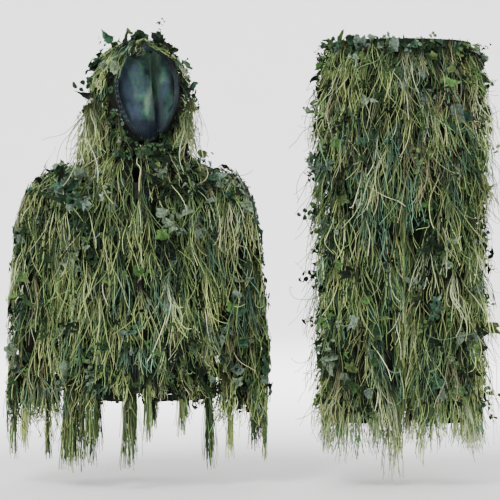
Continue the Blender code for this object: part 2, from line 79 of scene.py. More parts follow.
YARN_RADIUS = 0.00125
YARN_DEPTH, LEAF_DEPTH = 0.176, 0.178  # how far yarn and leaves may stand out to the front and back
LEAF_RIGHT = 0.953  # and leaves towards +X
CASING_SEED = 11
DOWN = np.array([0.0, 0.0, -1.0])
SIDES = ((-1, "right"), (1, "left"))


def linear(*srgb):
    """An sRGB colour, 0 to 255, as linear light."""
    return tuple(((c / 255 + 0.055) / 1.055) ** 2.4 if c > 10 else c / 255 / 12.92 for c in srgb)


def unit(v):
    return v / np.maximum(np.linalg.norm(v, axis=-1, keepdims=True), 1e-9)


# ---------------------------------------------------------------- materials

class Look:
    """A material in the making."""

    def __init__(self, name, rough, sheen=0.0, metallic=0.0):
        self.mat = bpy.data.materials.new(name)
        self.mat.use_nodes = True
        self.nodes, self.links = self.mat.node_tree.nodes, self.mat.node_tree.links
        self.shader = self.nodes["Principled BSDF"]
        gloss = 0.5 if rough < 0.6 else 0.12
        self.feed(self.shader, {
            "Roughness": rough, "Specular IOR Level": gloss, "Sheen Weight": sheen, "Metallic": metallic,
        })
        self.coords = self.node("TexCoord", {}).outputs["Object"]

    def feed(self, node, inputs):
        """Each input is a value, or the socket that it comes from."""
        for socket, value in inputs.items():
            if isinstance(value, bpy.types.NodeSocket):
                self.links.new(value, node.inputs[socket])
            else:
                node.inputs[socket].default_value = value

    def node(self, kind, inputs, **settings):
        node = self.nodes.new("ShaderNode" + kind)
        for setting, value in settings.items():
            setattr(node, setting, value)
        self.feed(node, inputs)
        return node

    def ramp(self, share, stops, kind="LINEAR"):
        node = self.node("ValToRGB", {"Fac": share})
        node.color_ramp.interpolation = kind
        elements = node.color_ramp.elements
        while len(elements) < len(stops):
            elements.new(0.5)
        for element, (at, colour) in zip(elements, stops):
            element.position, element.color = at, (*colour, 1.0)
        return node.outputs["Color"]

    def noise(self, scale, detail, upright=1.0, seed=0.0, output="Fac"):
        """Noise in the piece's own coordinates, stretched upright where upright is below 1."""
        place = self.node("Mapping", {
            "Location": (seed, seed * 0.7, seed * 1.3), "Scale": (1.0, 1.0, upright), "Vector": self.coords,
        })
        inputs = {"Scale": scale, "Detail": detail, "Vector": place.outputs["Vector"]}
        return self.node("TexNoise", inputs).outputs[output]

    def mixed(self, kind, share, a, b):
        return self.node("Mix", {0: share, 6: a, 7: b}, data_type="RGBA", blend_type=kind).outputs[2]

    def weave(self, pitch):
        """Two crossed sets of ridges, a thread apart."""
        inputs = {"Scale": 0.314 / pitch, "Distortion": 0.6, "Vector": self.coords}
        ridges = [self.node("TexWave", inputs, bands_direction=axis).outputs["Color"] for axis in "XZ"]
        return self.mixed("MULTIPLY", 0.8, *ridges)

    def done(self, colour, height, strength, distance):
        bump = self.node("Bump", {"Strength": strength, "Distance": distance, "Height": height})
        self.feed(self.shader, {"Base Color": colour, "Normal": bump.outputs["Normal"]})
        return self.mat


def camo_cloth():
    """Thin printed cloth: soft blotches of dark green, brown and grey green, with a weave."""
    look = Look("camo_cloth", 0.92, 0.05)
    blotches = look.ramp(look.noise(17.0, 4.0, seed=3.1), [
        (0.00, linear(8, 12, 8)), (0.40, linear(14, 20, 12)), (0.47, linear(28, 38, 22)),
        (0.54, linear(24, 22, 16)), (0.61, linear(12, 18, 12)), (0.75, linear(36, 46, 28)),
    ], "EASE")
    fade = look.ramp(look.noise(90.0, 2.0, seed=8.0), [(0.3, (0.72,) * 3), (0.7, (1.15,) * 3)])
    return look.done(look.mixed("MULTIPLY", 1.0, blotches, fade), look.weave(0.0011), 0.35, 0.0006)


def mesh_cloth(name, dark, light, sheen_patch, tinge=None):
    """The hood's fine knitted mesh, blue green, with paler patches of painted sheen."""
    look = Look(name, 0.80, 0.12)
    colour = look.ramp(look.noise(27.0, 5.0, 0.5, 5.0), [(0.34, dark), (0.50, light), (0.68, sheen_patch)])
    if tinge:
        where = look.ramp(look.noise(12.0, 2.0, seed=17.0), [(0.44, (0.0,) * 3), (0.58, (1.0,) * 3)])
        colour = look.mixed("MIX", where, colour, (*tinge, 1.0))
    weave, grain = look.weave(0.0026), look.noise(120.0, 2.0, output="Color")
    holes = look.mixed("MULTIPLY", 0.55, colour, weave)
    return look.done(look.mixed("OVERLAY", 0.60, holes, grain), weave, 0.5, 0.0008)


def painted(name, rough, grain, spread, sheen=0.05, bump_size=0.0006):
    """Takes its colour from the mesh: one colour a strand or leaf, with painted shade along each strand,
    broken up by a fine grain.
    """
    look = Look(name, rough, sheen)
    own = look.node("Attribute", {}, attribute_name="tint").outputs["Color"]
    grains = look.noise(grain, 2.0)
    shade = look.ramp(grains, [(0.25, (1 - spread,) * 3), (0.75, (1 + spread,) * 3)])
    return look.done(look.mixed("MULTIPLY", 1.0, own, shade), grains, 0.4, bump_size)


def plain(name, colour, rough, grain, metallic=0.0, spread=0.2):
    """Moulded plastic, elastic, tape or metal: one colour, with a fine grain and worn lighter flecks."""
    look = Look(name, rough, metallic=metallic)
    grains = look.noise(grain, 4.0)
    shades = ((0.3, 1 - spread), (0.6, 1), (0.85, 1 + 2 * spread))
    colour = look.ramp(grains, [(at, [c * k for c in colour]) for at, k in shades])
    return look.done(colour, grains, 0.3, 0.0003)


CLOTH = camo_cloth()
LINING = mesh_cloth(
    "mesh_lining", linear(20, 36, 38), linear(68, 108, 92), linear(124, 158, 132), linear(70, 86, 102)
)
RIM = mesh_cloth("rim_cloth", linear(10, 17, 24), linear(22, 34, 42), linear(48, 62, 68))
YARN = painted("yarn", 0.85, 260.0, 0.22)
LEAF = painted("leaf_cloth", 0.75, 150.0, 0.70, sheen=0.03, bump_size=0.0020)
THREAD = plain("stitching", linear(128, 140, 128), 0.8, 400.0)
ELASTIC = plain("elastic", linear(34, 36, 34), 0.8, 600.0)
TAPE = plain("zip_tape", linear(44, 52, 40), 0.85, 500.0)
TEETH = plain("zip_plastic", linear(30, 36, 26), 0.55, 300.0)
METAL = plain("zip_metal", linear(40, 46, 34), 0.55, 350.0, metallic=0.3)


# ---------------------------------------------------------------- shapes the cloth follows

class Tube:
    """Ovals strung along a line, read at any distance along, angle and height off the cloth.

    A station is (along, x, y, z, tilt, half width, half depth); side -1 mirrors it about x = middle.
    turn swings the whole tube about the vertical line through the origin.
    """

    STEP = 0.004

    def __init__(self, stations, side=1, middle=0.0, turn=0.0, smooth=5):
        table = np.array(stations, float)
        length = table[-1, 0] - table[0, 0]
        self.along = np.linspace(table[0, 0], table[-1, 0], int(length / self.STEP) + 2)
        rows = np.stack([np.interp(self.along, table[:, 0], column) for column in table.T[1:]], axis=1)
        for _ in range(smooth):
            rows[1:-1] = (rows[:-2] + 2 * rows[1:-1] + rows[2:]) / 4
        self.rows, self.side, self.middle, self.turn = rows, side, middle, turn

    def frame(self, s):
        """Centre, both axes of the oval and its half sizes, for an array of distances."""
        s = np.asarray(s, float)
        inside = np.clip(s, self.along[0], self.along[-1])
        x, y, z, tilt, wide, deep = (np.interp(inside, self.along, column) for column in self.rows.T)
        end = self.rows[-1, :3] - self.rows[-min(6, len(self.rows)), :3]
        over = (s - inside)[..., None] * (end / np.linalg.norm(end)) * (s > inside)[..., None]
        centre = np.stack([x, y, z], -1) + over
        across = np.stack([np.cos(tilt), np.zeros_like(tilt), np.sin(tilt)], -1)
        front = np.broadcast_to(np.array([0.0, 1.0, 0.0]), across.shape).copy()
        for v in (centre, across):
            v[..., 0] *= self.side
        centre[..., 0] += self.middle
        if self.turn:
            centre, across, front = (turned(v, self.turn) for v in (centre, across, front))
        return centre, across, front, wide, deep

    def at(self, s, angle, off=0.0):
        s, angle, off = np.broadcast_arrays(np.asarray(s, float), angle, off)
        centre, across, front, wide, deep = self.frame(s)
        u, v = (wide + off) * np.cos(angle), (deep + off) * np.sin(angle)
        return centre + u[..., None] * across + v[..., None] * front

    def normal(self, s, angle):
        """Unit vectors straight out of the cloth."""
        s, angle = np.broadcast_arrays(np.asarray(s, float), angle)
        down = self.at(s + self.STEP, angle) - self.at(np.maximum(s - self.STEP, 0.0), angle)
        round_ = self.at(s, angle + 0.03) - self.at(s, angle - 0.03)
        n = unit(np.cross(down, round_))
        out = self.at(s, angle, 0.01) - self.at(s, angle)
        return n * np.sign((n * out).sum(-1, keepdims=True))

    def push(self, points, clear):
        """Moves points that are nearer than clear to the cloth, or inside it, out of the oval."""
        centre, across, front, wide, deep = self.frame(self.along)
        along = unit(np.gradient(centre, axis=0))
        nearest = np.zeros(len(points), int)
        best = np.full(len(points), np.inf)
        for start in range(0, len(centre), 16):
            gap = points[:, None] - centre[None, start:start + 16]
            far = np.abs((gap * along[None, start:start + 16]).sum(-1)) + 0.05 * np.linalg.norm(gap, axis=-1)
            first, least = far.argmin(1), far.min(1)
            better = least < best
            nearest[better], best[better] = first[better] + start, least[better]
        gap = points - centre[nearest]
        beyond = np.abs((gap * along[nearest]).sum(-1)) > 0.012
        u, v = (gap * across[nearest]).sum(-1), (gap * front[nearest]).sum(-1)
        reach = np.hypot(u / (wide[nearest] + clear), v / (deep[nearest] + clear))
        grow = np.where((reach < 1) & ~beyond, 1 / np.maximum(reach, 0.2) - 1, 0.0)
        return points + grow[:, None] * (u[:, None] * across[nearest] + v[:, None] * front[nearest])


def turned(v, angle):
    c, s = math.cos(angle), math.sin(angle)
    out = v.copy()
    out[..., 0], out[..., 1] = v[..., 0] * c - v[..., 1] * s, v[..., 0] * s + v[..., 1] * c
    return out


def upright(top, rings, **where):
    """A tube straight down from a height; a ring is (distance down, half width, half depth)."""
    return Tube([(s, 0, 0, top - s, 0, wide, deep) for s, wide, deep in rings], **where)


TRUNK = upright(0.0, [
    (0.000, 0.086, 0.086), (0.020, 0.112, 0.099), (0.045, 0.152, 0.115), (0.070, 0.178, 0.128),
    (0.095, 0.188, CHEST_HALF_DEPTH), (0.250, 0.190, CHEST_HALF_DEPTH),
    (JACKET_LENGTH, HEM_HALF_WIDTH, CHEST_HALF_DEPTH),
])
BAND = upright(COLLAR_TOP, [(s, 0.0885, 0.0885) for s in (0.0, COLLAR_TALL)])
HEM = upright(-JACKET_LENGTH - GAP, [(s, HEM_HALF_WIDTH, CHEST_HALF_DEPTH) for s in (0.0, 0.1)])
WAIST = upright(WAIST_TOP, [(s, *WAIST_OVAL) for s in (0.0, 0.1)], middle=TROUSERS_X)
HIP_TOP = WAIST_TOP - WAIST_CASING - GAP
HIP_TALL = HIP_TOP - CROTCH_Z
HIPS = upright(
    HIP_TOP, [(0.0, *WAIST_OVAL), (0.10, 0.199, 0.121), (HIP_TALL, 0.205, 0.122)], middle=TROUSERS_X
)


def sleeve_tube(side):
    rings = [
        (0.146, -0.150, 90, 0.080, 0.080), (0.197, -0.150, 90, 0.080, 0.080),
        (0.2385, -0.1615, 60, 0.082, 0.079), (0.2515, -0.2065, 30, 0.062, 0.077),
        (0.2572, -0.2435, 12, 0.060, 0.075), (0.2585, -0.300, 8, 0.058, 0.074),
        (0.261, -0.400, 5, 0.055, 0.071), (0.270, -0.540, 4, 0.051, 0.064), (0.277, -0.655, 3, 0.046, 0.055),
    ]
    table, along = [], 0.0
    for index, (x, z, tilt, wide, deep) in enumerate(rings):
        if index:
            along += math.hypot(x - rings[index - 1][0], z - rings[index - 1][1])
        table.append((along, x, 0, z, math.radians(tilt), wide, deep))
    return Tube(table, side, smooth=2)


HOOD_RINGS = (
    (0.013, 0.090, 0.090, 0.000), (0.060, 0.104, 0.112, 0.004), (0.120, 0.112, 0.126, 0.006),
    (0.180, 0.109, 0.124, 0.008), (0.225, 0.094, 0.107, 0.008), (0.255, 0.070, 0.080, 0.008),
    (0.274, 0.042, 0.048, 0.008), (0.286, 0.012, 0.014, 0.008),
)
HOOD_TOP = HOOD_RINGS[-1][0]
HOOD = Tube(
    [(HOOD_TOP - z, 0, y, z, 0, wide, deep) for z, wide, deep, y in HOOD_RINGS[::-1]],
    turn=HOOD_TURN, smooth=3,
)
LEG_TOP = CROTCH_Z - 0.001
BLEND_START, BLEND_END = 0.045, 0.150
LEG_CORNER = math.radians(121)  # where the hips' oval meets the inseam's flat
INSEAM = 0.0035


class Leg(Tube):
    """A trouser leg: half of the hips' oval at the top, running into an oval of its own."""

    def __init__(self, side):
        rings = [
            (0.0, 0.0955, 0.110), (BLEND_START, 0.0945, 0.106), (BLEND_END, 0.092, 0.104),
            (0.383, 0.089, 0.100), (0.633, 0.086, 0.096),
        ]
        super().__init__([(s, LEG_CENTRE, 0, LEG_TOP - s, 0, w, d) for s, w, d in rings], side, TROUSERS_X)

    def at(self, s, angle, off=0.0):
        s, angle, off = np.broadcast_arrays(np.asarray(s, float), angle, off)
        oval = super().at(s, angle, off)
        taper = 0.10 * np.clip(s, 0.0, BLEND_END)
        wide, deep = 0.195 - taper + off, 0.112 - taper + off
        turn = (angle + math.pi) % math.tau - math.pi
        swing = np.clip(turn / LEG_CORNER, -1, 1) * math.pi / 2
        seam = INSEAM - off
        inner = np.abs(turn) >= LEG_CORNER
        x = np.where(inner, seam, np.maximum(wide * np.cos(swing), seam))
        share = (math.pi - np.abs(turn)) / (math.pi - LEG_CORNER)
        y = np.where(inner, np.sign(turn) * deep * share, deep * np.sin(swing))
        hip = np.stack([self.middle + self.side * x, y, LEG_TOP - s], -1)
        blend = np.clip((s - BLEND_START) / (BLEND_END - BLEND_START), 0, 1)[..., None]
        return hip * (1 - blend) + oval * blend


SLEEVES = {word: sleeve_tube(side) for side, word in SIDES}
LEGS = {word: Leg(side) for side, word in SIDES}


# ---------------------------------------------------------------- meshes

def mesh_object(name, verts, faces, material, corners=None):
    """verts (N, 3); faces one (F, 3) or (F, 4) array, or a list of them; corners, their map points."""
    mesh = bpy.data.meshes.new(name)
    groups = faces if isinstance(faces, list) else [faces]
    groups = [np.asarray(g, np.int32) for g in groups]
    mesh.vertices.add(len(verts))
    mesh.vertices.foreach_set("co", np.asarray(verts, np.float32).ravel())
    loops = np.concatenate([g.ravel() for g in groups])
    sizes = np.concatenate([np.full(len(g), g.shape[1], np.int32) for g in groups])
    mesh.loops.add(len(loops))
    mesh.loops.foreach_set("vertex_index", loops)
    mesh.polygons.add(len(sizes))
    mesh.polygons.foreach_set("loop_start", np.concatenate([[0], np.cumsum(sizes)[:-1]]).astype(np.int32))
    mesh.update(calc_edges=True)
    if corners is not None:
        mesh.uv_layers.new(name="OFBake").data.foreach_set("uv", np.asarray(corners, np.float32).ravel())
    mesh.shade_smooth()
    mesh.materials.append(material)
    obj = bpy.data.objects.new(name, mesh)
    bpy.context.collection.objects.link(obj)
    return obj


def grid(rows, cols, ring=False):
    """A grid's faces, and a map point for each of their corners: columns across, rows up."""
    wide = cols if ring else cols - 1
    r, c = np.meshgrid(np.arange(rows - 1), np.arange(wide), indexing="ij")
    steps = [(r, c), (r, c + 1), (r + 1, c + 1), (r + 1, c)]
    faces = np.stack([rr * cols + cc % cols for rr, cc in steps], -1).reshape(-1, 4)
    uv = np.stack([np.stack([cc / wide, rr / (rows - 1)], -1) for rr, cc in steps], -2)
    return faces, uv.reshape(-1, 4, 2) * 0.98 + 0.01


def waves(seed, count, *fields):
    """Smooth noise, about -1 to 1, as a sum of waves over coordinates in radians."""
    rng = np.random.default_rng(seed)
    total = 0.0
    for _ in range(count):
        lean = rng.normal(size=len(fields))
        total = total + np.sin(sum(k * f for k, f in zip(lean, fields)) + rng.uniform(0, math.tau))
    return total / math.sqrt(count)


def tint_mesh(obj, colours):
    """One colour a point, linear, read by the painted materials."""
    layer = obj.data.attributes.new("tint", "FLOAT_COLOR", "POINT")
    rgba = np.ones((len(colours), 4), np.float32)
    rgba[:, :3] = colours
    layer.data.foreach_set("color", rgba.ravel())


# ---------------------------------------------------------------- cloth


def put(obj, nodes=(), body=None):
    """Hides the CAD nodes a piece stands for and, when given a body, attaches the piece to the body it rides
    on.
    """
    if nodes:
        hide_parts(*([nodes] if isinstance(nodes, str) else nodes))
    if body:
        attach(obj, body)
    return obj


def leg_blend(obj):
    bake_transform(obj)


def hood_blend(obj):
    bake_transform(obj)


def folded(tube, s, turn, folds, off, seed):
    """Points of a tube's cloth, hanging in soft upright folds that deepen towards its lower edge."""
    grid_s = np.broadcast_to(np.asarray(s, float)[:, None], turn.shape)
    share = (grid_s - s[0]) / (s[-1] - s[0])
    u, v = np.cos(turn), np.sin(turn)
    fold = waves(seed, 8, u * 9.0, v * 9.0, grid_s * 9.0) * folds * (0.35 + 0.65 * share)
    crease = waves(seed + 1, 8, u * 16.0, v * 16.0, grid_s * 55.0) * folds * 0.4
    return tube.at(grid_s, turn, off + np.minimum(fold + crease, 0.0015))


def spans(points, ring=False):
    """Width and length of a grid laid flat: its longest row and mean column."""
    closed = np.concatenate([points, points[:, :1]], 1) if ring else points
    width = np.linalg.norm(np.diff(closed, axis=1), axis=-1).sum(1)
    length = np.linalg.norm(np.diff(points, axis=0), axis=-1).sum(0).mean()
    return round(float(width.max()), 3), round(float(length), 3)


def cloth(
    name, points, node, body=None, flat=None, held="hung", slot="camo_cloth", material=CLOTH, keep=None,
    ring=False,
):
    """A piece of cloth from a grid of points; keep drops faces and the points they alone used."""
    faces, corners = grid(*points.shape[:2], ring)
    verts = points.reshape(-1, 3)
    if keep is not None:
        chosen = keep(verts[faces].mean(1))
        faces, corners = faces[chosen], corners[chosen]
        used, renumbered = np.unique(faces, return_inverse=True)
        verts, faces = verts[used], renumbered.reshape(-1, 4)
    obj = put(mesh_object(name, verts, faces, material, corners=corners), node, body)
    return obj


def tunnel(name, points, node, body=None, **looks):
    """A gathered tunnel of cloth, from rings of points; laid flat, its two walls lie on each other."""
    loop, length = spans(points, ring=True)
    return cloth(name, points, node, body, (loop / 2, length), "gathered", ring=True, **looks)


def round_armholes(points):
    """Moves the points in an armhole out to its round edge."""
    y, z = points[..., 1], points[..., 2] - ARMHOLE_Z
    reach = np.hypot(y, z)
    near = (reach < ARMHOLE_RADIUS) & (reach > ARMHOLE_RADIUS - 0.012)
    inside = near & (np.abs(points[..., 0]) > ARMHOLE_X)
    grow = np.where(inside, ARMHOLE_RADIUS / np.maximum(reach, 1e-6), 1.0)
    points[..., 1] = y * grow
    points[..., 2] = z * grow + ARMHOLE_Z
    return points


def outside_armholes(centres):
    reach = np.hypot(centres[:, 1], centres[:, 2] - ARMHOLE_Z)
    return (reach > ARMHOLE_RADIUS - 0.003) | (np.abs(centres[:, 0]) < ARMHOLE_X)


def trunk_panel(name, start, end, node, seed):
    """A trunk panel; start and end are its edges' angles, or functions of the distance down."""
    s = np.linspace(0.0, JACKET_LENGTH, 130)
    edges = [np.array([e(v) if callable(e) else e for v in s]) for e in (start, end)]
    turn = edges[0][:, None] + (edges[1] - edges[0])[:, None] * np.linspace(0, 1, 90)
    points = folded(TRUNK, s, turn, 0.0030, -0.0012, seed)
    flat = spans(points)
    cloth(name, round_armholes(points), node, "jacket", flat, keep=outside_armholes)


def zip_edge(side):
    """The angle of a front panel's edge beside the zip tape, at any distance down."""
    def at(s):
        wide = float(TRUNK.frame(s)[3])
        angle = -math.pi / 2 + math.asin(TAPE_EDGE / wide)
        return angle if side > 0 else -math.pi - angle
    return at


def tube_cloth(name, tube, node, body, seed, folds):
    end = tube.along[-1]
    s = np.linspace(0.0, end, int(end / 0.006))
    turn = np.broadcast_to(np.linspace(0, math.tau, 96, endpoint=False), (len(s), 96))
    return cloth(name, folded(tube, s, turn, folds, -0.0010, seed), node, body, ring=True)


def casing(name, tube, s, height, arc, node, body, gathers):
    """A hollow cloth tunnel round its elastic, pulled into small gathers; arc in degrees."""
    start, end = (math.radians(a) for a in arc)
    count = int(abs(end - start) * 60)
    turn = np.linspace(start, end, count)[:, None]
    loop = np.linspace(0, math.tau, 14, endpoint=False)[None]
    pucker = waves(CASING_SEED + count, 5, np.cos(turn) * gathers, np.sin(turn) * gathers)
    along = s + height * (0.5 + 0.5 * np.sign(np.cos(loop)) * np.abs(np.cos(loop)) ** 0.5)
    thick = -CASING_THICK / 2 + (CASING_THICK / 2 + 0.0004) * np.sin(loop) * (1 + 0.22 * pucker)
    tunnel(name, tube.at(along + 0.0006 * pucker * np.cos(loop), turn + 0 * loop, thick), node, body)


def build_cloth():
    trunk_panel("back_panel_cloth", math.radians(0.15), math.radians(179.85), "jacket_back_panel", 21)
    trunk_panel("right_front_cloth", zip_edge(-1), -math.pi + 0.002, "right_front_panel", 23)
    trunk_panel("left_front_cloth", zip_edge(1), -0.002, "left_front_panel", 25)
    casing("collar_band_cloth", BAND, 0.0, COLLAR_TALL, (-81, 261), "collar_band", "jacket", 9)
    casing("hem_casing_cloth", HEM, 0.0, CASING, (-86, 266), "hem_casing", "jacket", 30)
    casing("waist_casing_cloth", WAIST, 0.0, WAIST_CASING, (92, 448), "waist_casing", "trousers", 42)
    for word, sign in (("back", 1), ("front", -1)):
        s = np.linspace(0.0, HIP_TALL, 60)
        turn = np.broadcast_to(np.radians(sign * np.linspace(0.12, 179.88, 100)), (len(s), 100))
        points = folded(HIPS, s, turn, 0.0024, -0.0010, 31)
        points[..., 1] += sign * np.cos(np.arange(100) * 1.9) * 0.0012 * np.exp(-s / 0.03)[:, None]
        cloth(f"{word}_hip_cloth", points, f"{word}_hip_panel", "trousers", held="gathered")
    for side, word in SIDES:
        sleeve, leg = SLEEVES[word], LEGS[word]
        arm_body, leg_body = f"{word}_sleeve", f"{word}_leg"
        tube_cloth(f"{word}_sleeve_cloth", sleeve, arm_body, arm_body, 40 + side, folds=0.0030)
        end = sleeve.along[-1] + GAP
        casing(f"{word}_cuff_cloth", sleeve, end, CASING, (184, 536), f"{word}_cuff_casing", arm_body, 16)
        leg_blend(tube_cloth(f"{word}_leg_cloth", leg, leg_body, None, 50 + side, folds=0.0024))
        end = leg.along[-1] + GAP
        casing(f"{word}_ankle_cloth", leg, end, CASING, (183, 537), f"{word}_ankle_casing", leg_body, 22)


# ---------------------------------------------------------------- hood

def hood_oval(z):
    """Half width, half depth and middle of the hood at a height."""
    table = np.array(HOOD_RINGS)
    return [np.interp(z, table[:, 0], table[:, c]) for c in (1, 2, 3)]


def narrowed(up):
    """The face opening's width as a share, for heights from -1 at the chin to 1 at the top."""
    return 1.0 - FACE_TAPER * np.clip(-up, 0, 1) ** 1.5


def face_reach(x, z, grow=0.0):
    """Below 1 inside the egg-shaped face opening, seen from the hood's front."""
    up = (z - FACE_CENTRE_Z) / (np.where(z > FACE_CENTRE_Z, FACE_TOP, FACE_CHIN) + grow)
    return np.hypot(x / (FACE_HALF_WIDTH * narrowed(up) + grow), up)


def hood_kept(centres):
    flat = turned(centres, -HOOD_TURN)
    return (face_reach(flat[:, 0], flat[:, 2], RIM_RADIUS) > 0.965) | (flat[:, 1] > 0.0)


def build_hood():
    s = np.linspace(0.0, HOOD_TOP - HOOD_RINGS[0][0], 90)
    turn = np.broadcast_to(np.linspace(0, math.tau, 150, endpoint=False), (90, 150))
    points = turned(folded(HOOD, s, turn, 0.0035, -0.0012, 61), -HOOD_TURN)
    x, y, z = (points[..., k] for k in range(3))
    reach = face_reach(x, z, RIM_RADIUS)
    near = (y < 0.0) & (reach < 1.0) & (reach > 0.88)
    grow = np.where(near, 1.0 / np.maximum(reach, 0.1), 1.0)
    points[..., 0], points[..., 2] = x * grow, FACE_CENTRE_Z + (z - FACE_CENTRE_Z) * grow
    points = turned(points, HOOD_TURN)
    hood_blend(cloth("hood_cloth", points, "hood_shell", flat=HOOD_FLAT, keep=hood_kept, ring=True))
    build_lining()
    angles = np.linspace(math.radians(-62), math.radians(242), 150)
    up = np.sin(angles)
    x = FACE_HALF_WIDTH * narrowed(up) * np.cos(angles)
    z = FACE_CENTRE_Z + np.where(up > 0, FACE_TOP, FACE_CHIN) * up
    wide, deep, centre = hood_oval(z)
    path = np.stack([x, centre - deep * np.sqrt(np.clip(1.0 - (x / wide) ** 2, 0, 1)), z], -1)
    rim = turned(swept(path, 0.0056, 12, gathers=0.0010), HOOD_TURN)
    hood_blend(tunnel("hood_rim_cloth", rim, "hood_rim_casing", slot="mesh_lining", material=RIM))
    stitches(path)
    leaf = Leaves(71)
    base = turned(np.array([[0.0, 0.008, HOOD_TOP - 0.001]]), HOOD_TURN)[0]
    for lean in (-0.9, 0.0, 0.8):
        up = np.array([math.sin(lean), -0.15, math.cos(lean)])
        leaf.add(base, np.array([0.1 * lean, -1.0, 0.1]), up, 0.028, GREENS[1])
    hood_blend(put(leaf.mesh("crown_leaf_cloth"), "crown_leaf"))


def build_lining():
    """The mesh lining: its back hangs forward in two soft upright lobes behind the face opening."""
    inset = 0.0055
    z = np.linspace(0.0190, HOOD_TOP - inset - 0.002, 80)
    turn = np.linspace(0, math.tau, 160, endpoint=False)
    wide, deep, centre = hood_oval(z)
    x = (wide - inset)[:, None] * np.cos(turn)
    y = centre[:, None] + (deep - inset)[:, None] * np.sin(turn)
    up = np.broadcast_to(z[:, None], x.shape)
    sway = 0.006 * np.sin(up * 24.0)
    lobe = 0.0
    for middle, half, swell in ((-0.014, 0.056, 0.042), (0.066, 0.028, 0.036)):
        lobe = lobe + swell * np.clip(1 - ((x - (middle + sway)) / half) ** 2, 0, 1) ** 0.7
    valley = 0.036 * np.exp(-(((x - 0.040 - sway) / 0.010) ** 2))
    height = np.clip((up - 0.02) / 0.05, 0, 1) * np.clip((0.262 - up) / 0.05, 0, 1)
    wrinkle = waves(77, 7, x * 70.0, up * 38.0) * 0.0034 + waves(78, 9, x * 190.0, up * 130.0) * 0.0022
    wrinkle = wrinkle + 0.0080 * np.abs(waves(80, 6, x * 110.0, up * 44.0)) ** 0.7
    wall = -0.022 - lobe * height + wrinkle + valley * height
    open_ = (face_reach(x, up, 0.003) < 1.0) & (y < 0.0)
    y = np.where(y > wall, wall + 0.04 * (y - wall), y)
    kept = ~open_.ravel()[grid(*x.shape, ring=True)[0]].all(1)
    points = turned(np.stack([x, y, up], -1), HOOD_TURN)
    hood_blend(cloth(
        "hood_lining_mesh", points, "hood_lining", flat=LINING_FLAT, slot="mesh_lining", material=LINING,
        keep=lambda _: kept, ring=True,
    ))


def swept(path, radius, sides, gathers):
    """Rings of points round a path, pinched at random along it."""
    tangents = unit(np.gradient(path, axis=0))
    first = unit(np.cross(tangents, (0.0, 1.0, 0.0)))
    second = np.cross(tangents, first)
    turn = np.linspace(0, math.tau, sides, endpoint=False)[None, :, None]
    along = np.arange(len(path))[:, None, None] * 1.0
    pinch = gathers * waves(79, 6, along * 1.1, np.cos(turn) * 2.0, np.sin(turn) * 2.0)
    out = np.cos(turn) * first[:, None] + np.sin(turn) * second[:, None]
    return path[:, None] + (radius - np.abs(pinch)) * out


def stitches(path):
    """Two rows of pale stitches on the flank of the rim, at the wearer's right."""
    lines = []
    for off, aside in ((0.0052, -0.0032), (0.0064, 0.0012)):
        for k in range(78, 140, 3):
            a, b = (path[i] + [aside, -off, 0.0] for i in (k, k + 1))
            lines.append(np.stack([a, (a + b) / 2 + [0, -0.0005, 0], b]))
    points = turned(np.array(lines), HOOD_TURN)
    radius, side = np.full((len(points), 3), 0.00045), np.tile([1.0, 0.0, 0.0], (len(points), 1))
    hood_blend(put(threads("rim_stitches", points, radius, side, None, THREAD)))


# ---------------------------------------------------------------- yarn

def threads(name, points, radius, side, colours, material):
    """Thin three-sided tubes through points (N, P, 3); radius (N, P), side (N, 3) is any cross direction."""
    count, along = points.shape[:2]
    tangent = unit(np.gradient(points, axis=1))
    u = unit(np.cross(tangent, side[:, None]))
    v = np.cross(tangent, u)
    turn = np.array([0, math.tau / 3, 2 * math.tau / 3])
    ring = np.cos(turn)[:, None] * u[:, :, None] + np.sin(turn)[:, None] * v[:, :, None]
    verts = points[:, :, None] + radius[:, :, None, None] * ring
    n, k, j = np.meshgrid(np.arange(count), np.arange(along - 1), np.arange(3), indexing="ij")
    steps = [(k, j), (k, j + 1), (k + 1, j + 1), (k + 1, j)]
    faces = np.stack([(n * along + kk) * 3 + jj % 3 for kk, jj in steps], -1).reshape(-1, 4)
    cells = math.ceil(math.sqrt(count))
    uv = [
        np.stack([(n % cells + 0.9 * kk / (along - 1)) / cells, (n // cells + 0.3 * jj) / cells], -1)
        for kk, jj in steps
    ]
    obj = mesh_object(name, verts.reshape(-1, 3), faces, material, corners=np.stack(uv, -2).reshape(-1, 2))
    if colours is not None:
        tint_mesh(obj, np.repeat(colours.reshape(-1, 3), 3, axis=0))
    return obj


POINTS = 15
YELLOW, PALE, MOSS, TAN, TEAL, DEEP = (
    linear(138, 152, 94), linear(166, 176, 138), linear(92, 114, 68), linear(122, 118, 88),
    linear(76, 108, 88), linear(38, 54, 34),
)
MIXES = {
    "jacket": ((YELLOW, 0.25), (PALE, 0.09), (MOSS, 0.31), (TAN, 0.09), (TEAL, 0.10), (DEEP, 0.16)),
    "light": ((YELLOW, 0.58), (PALE, 0.16), (MOSS, 0.20), (TAN, 0.06)),
    "lock": ((YELLOW, 0.30), (MOSS, 0.40), (DEEP, 0.20), (TAN, 0.10)),
    "ankle": ((YELLOW, 0.20), (PALE, 0.42), (MOSS, 0.22), (TEAL, 0.16)),
}
LOCK = {"lift": 0.10, "mix": "lock", "bright": 0.9, "straight": 0.95}  # a long rope of yarn
LIMITS = ((0, 1, 0.925), (0, -1, 0.372), (2, -1, 0.856))  # axis, sign and where strands start to be held back
SLACK = 0.026  # how far past a limit a strand may reach


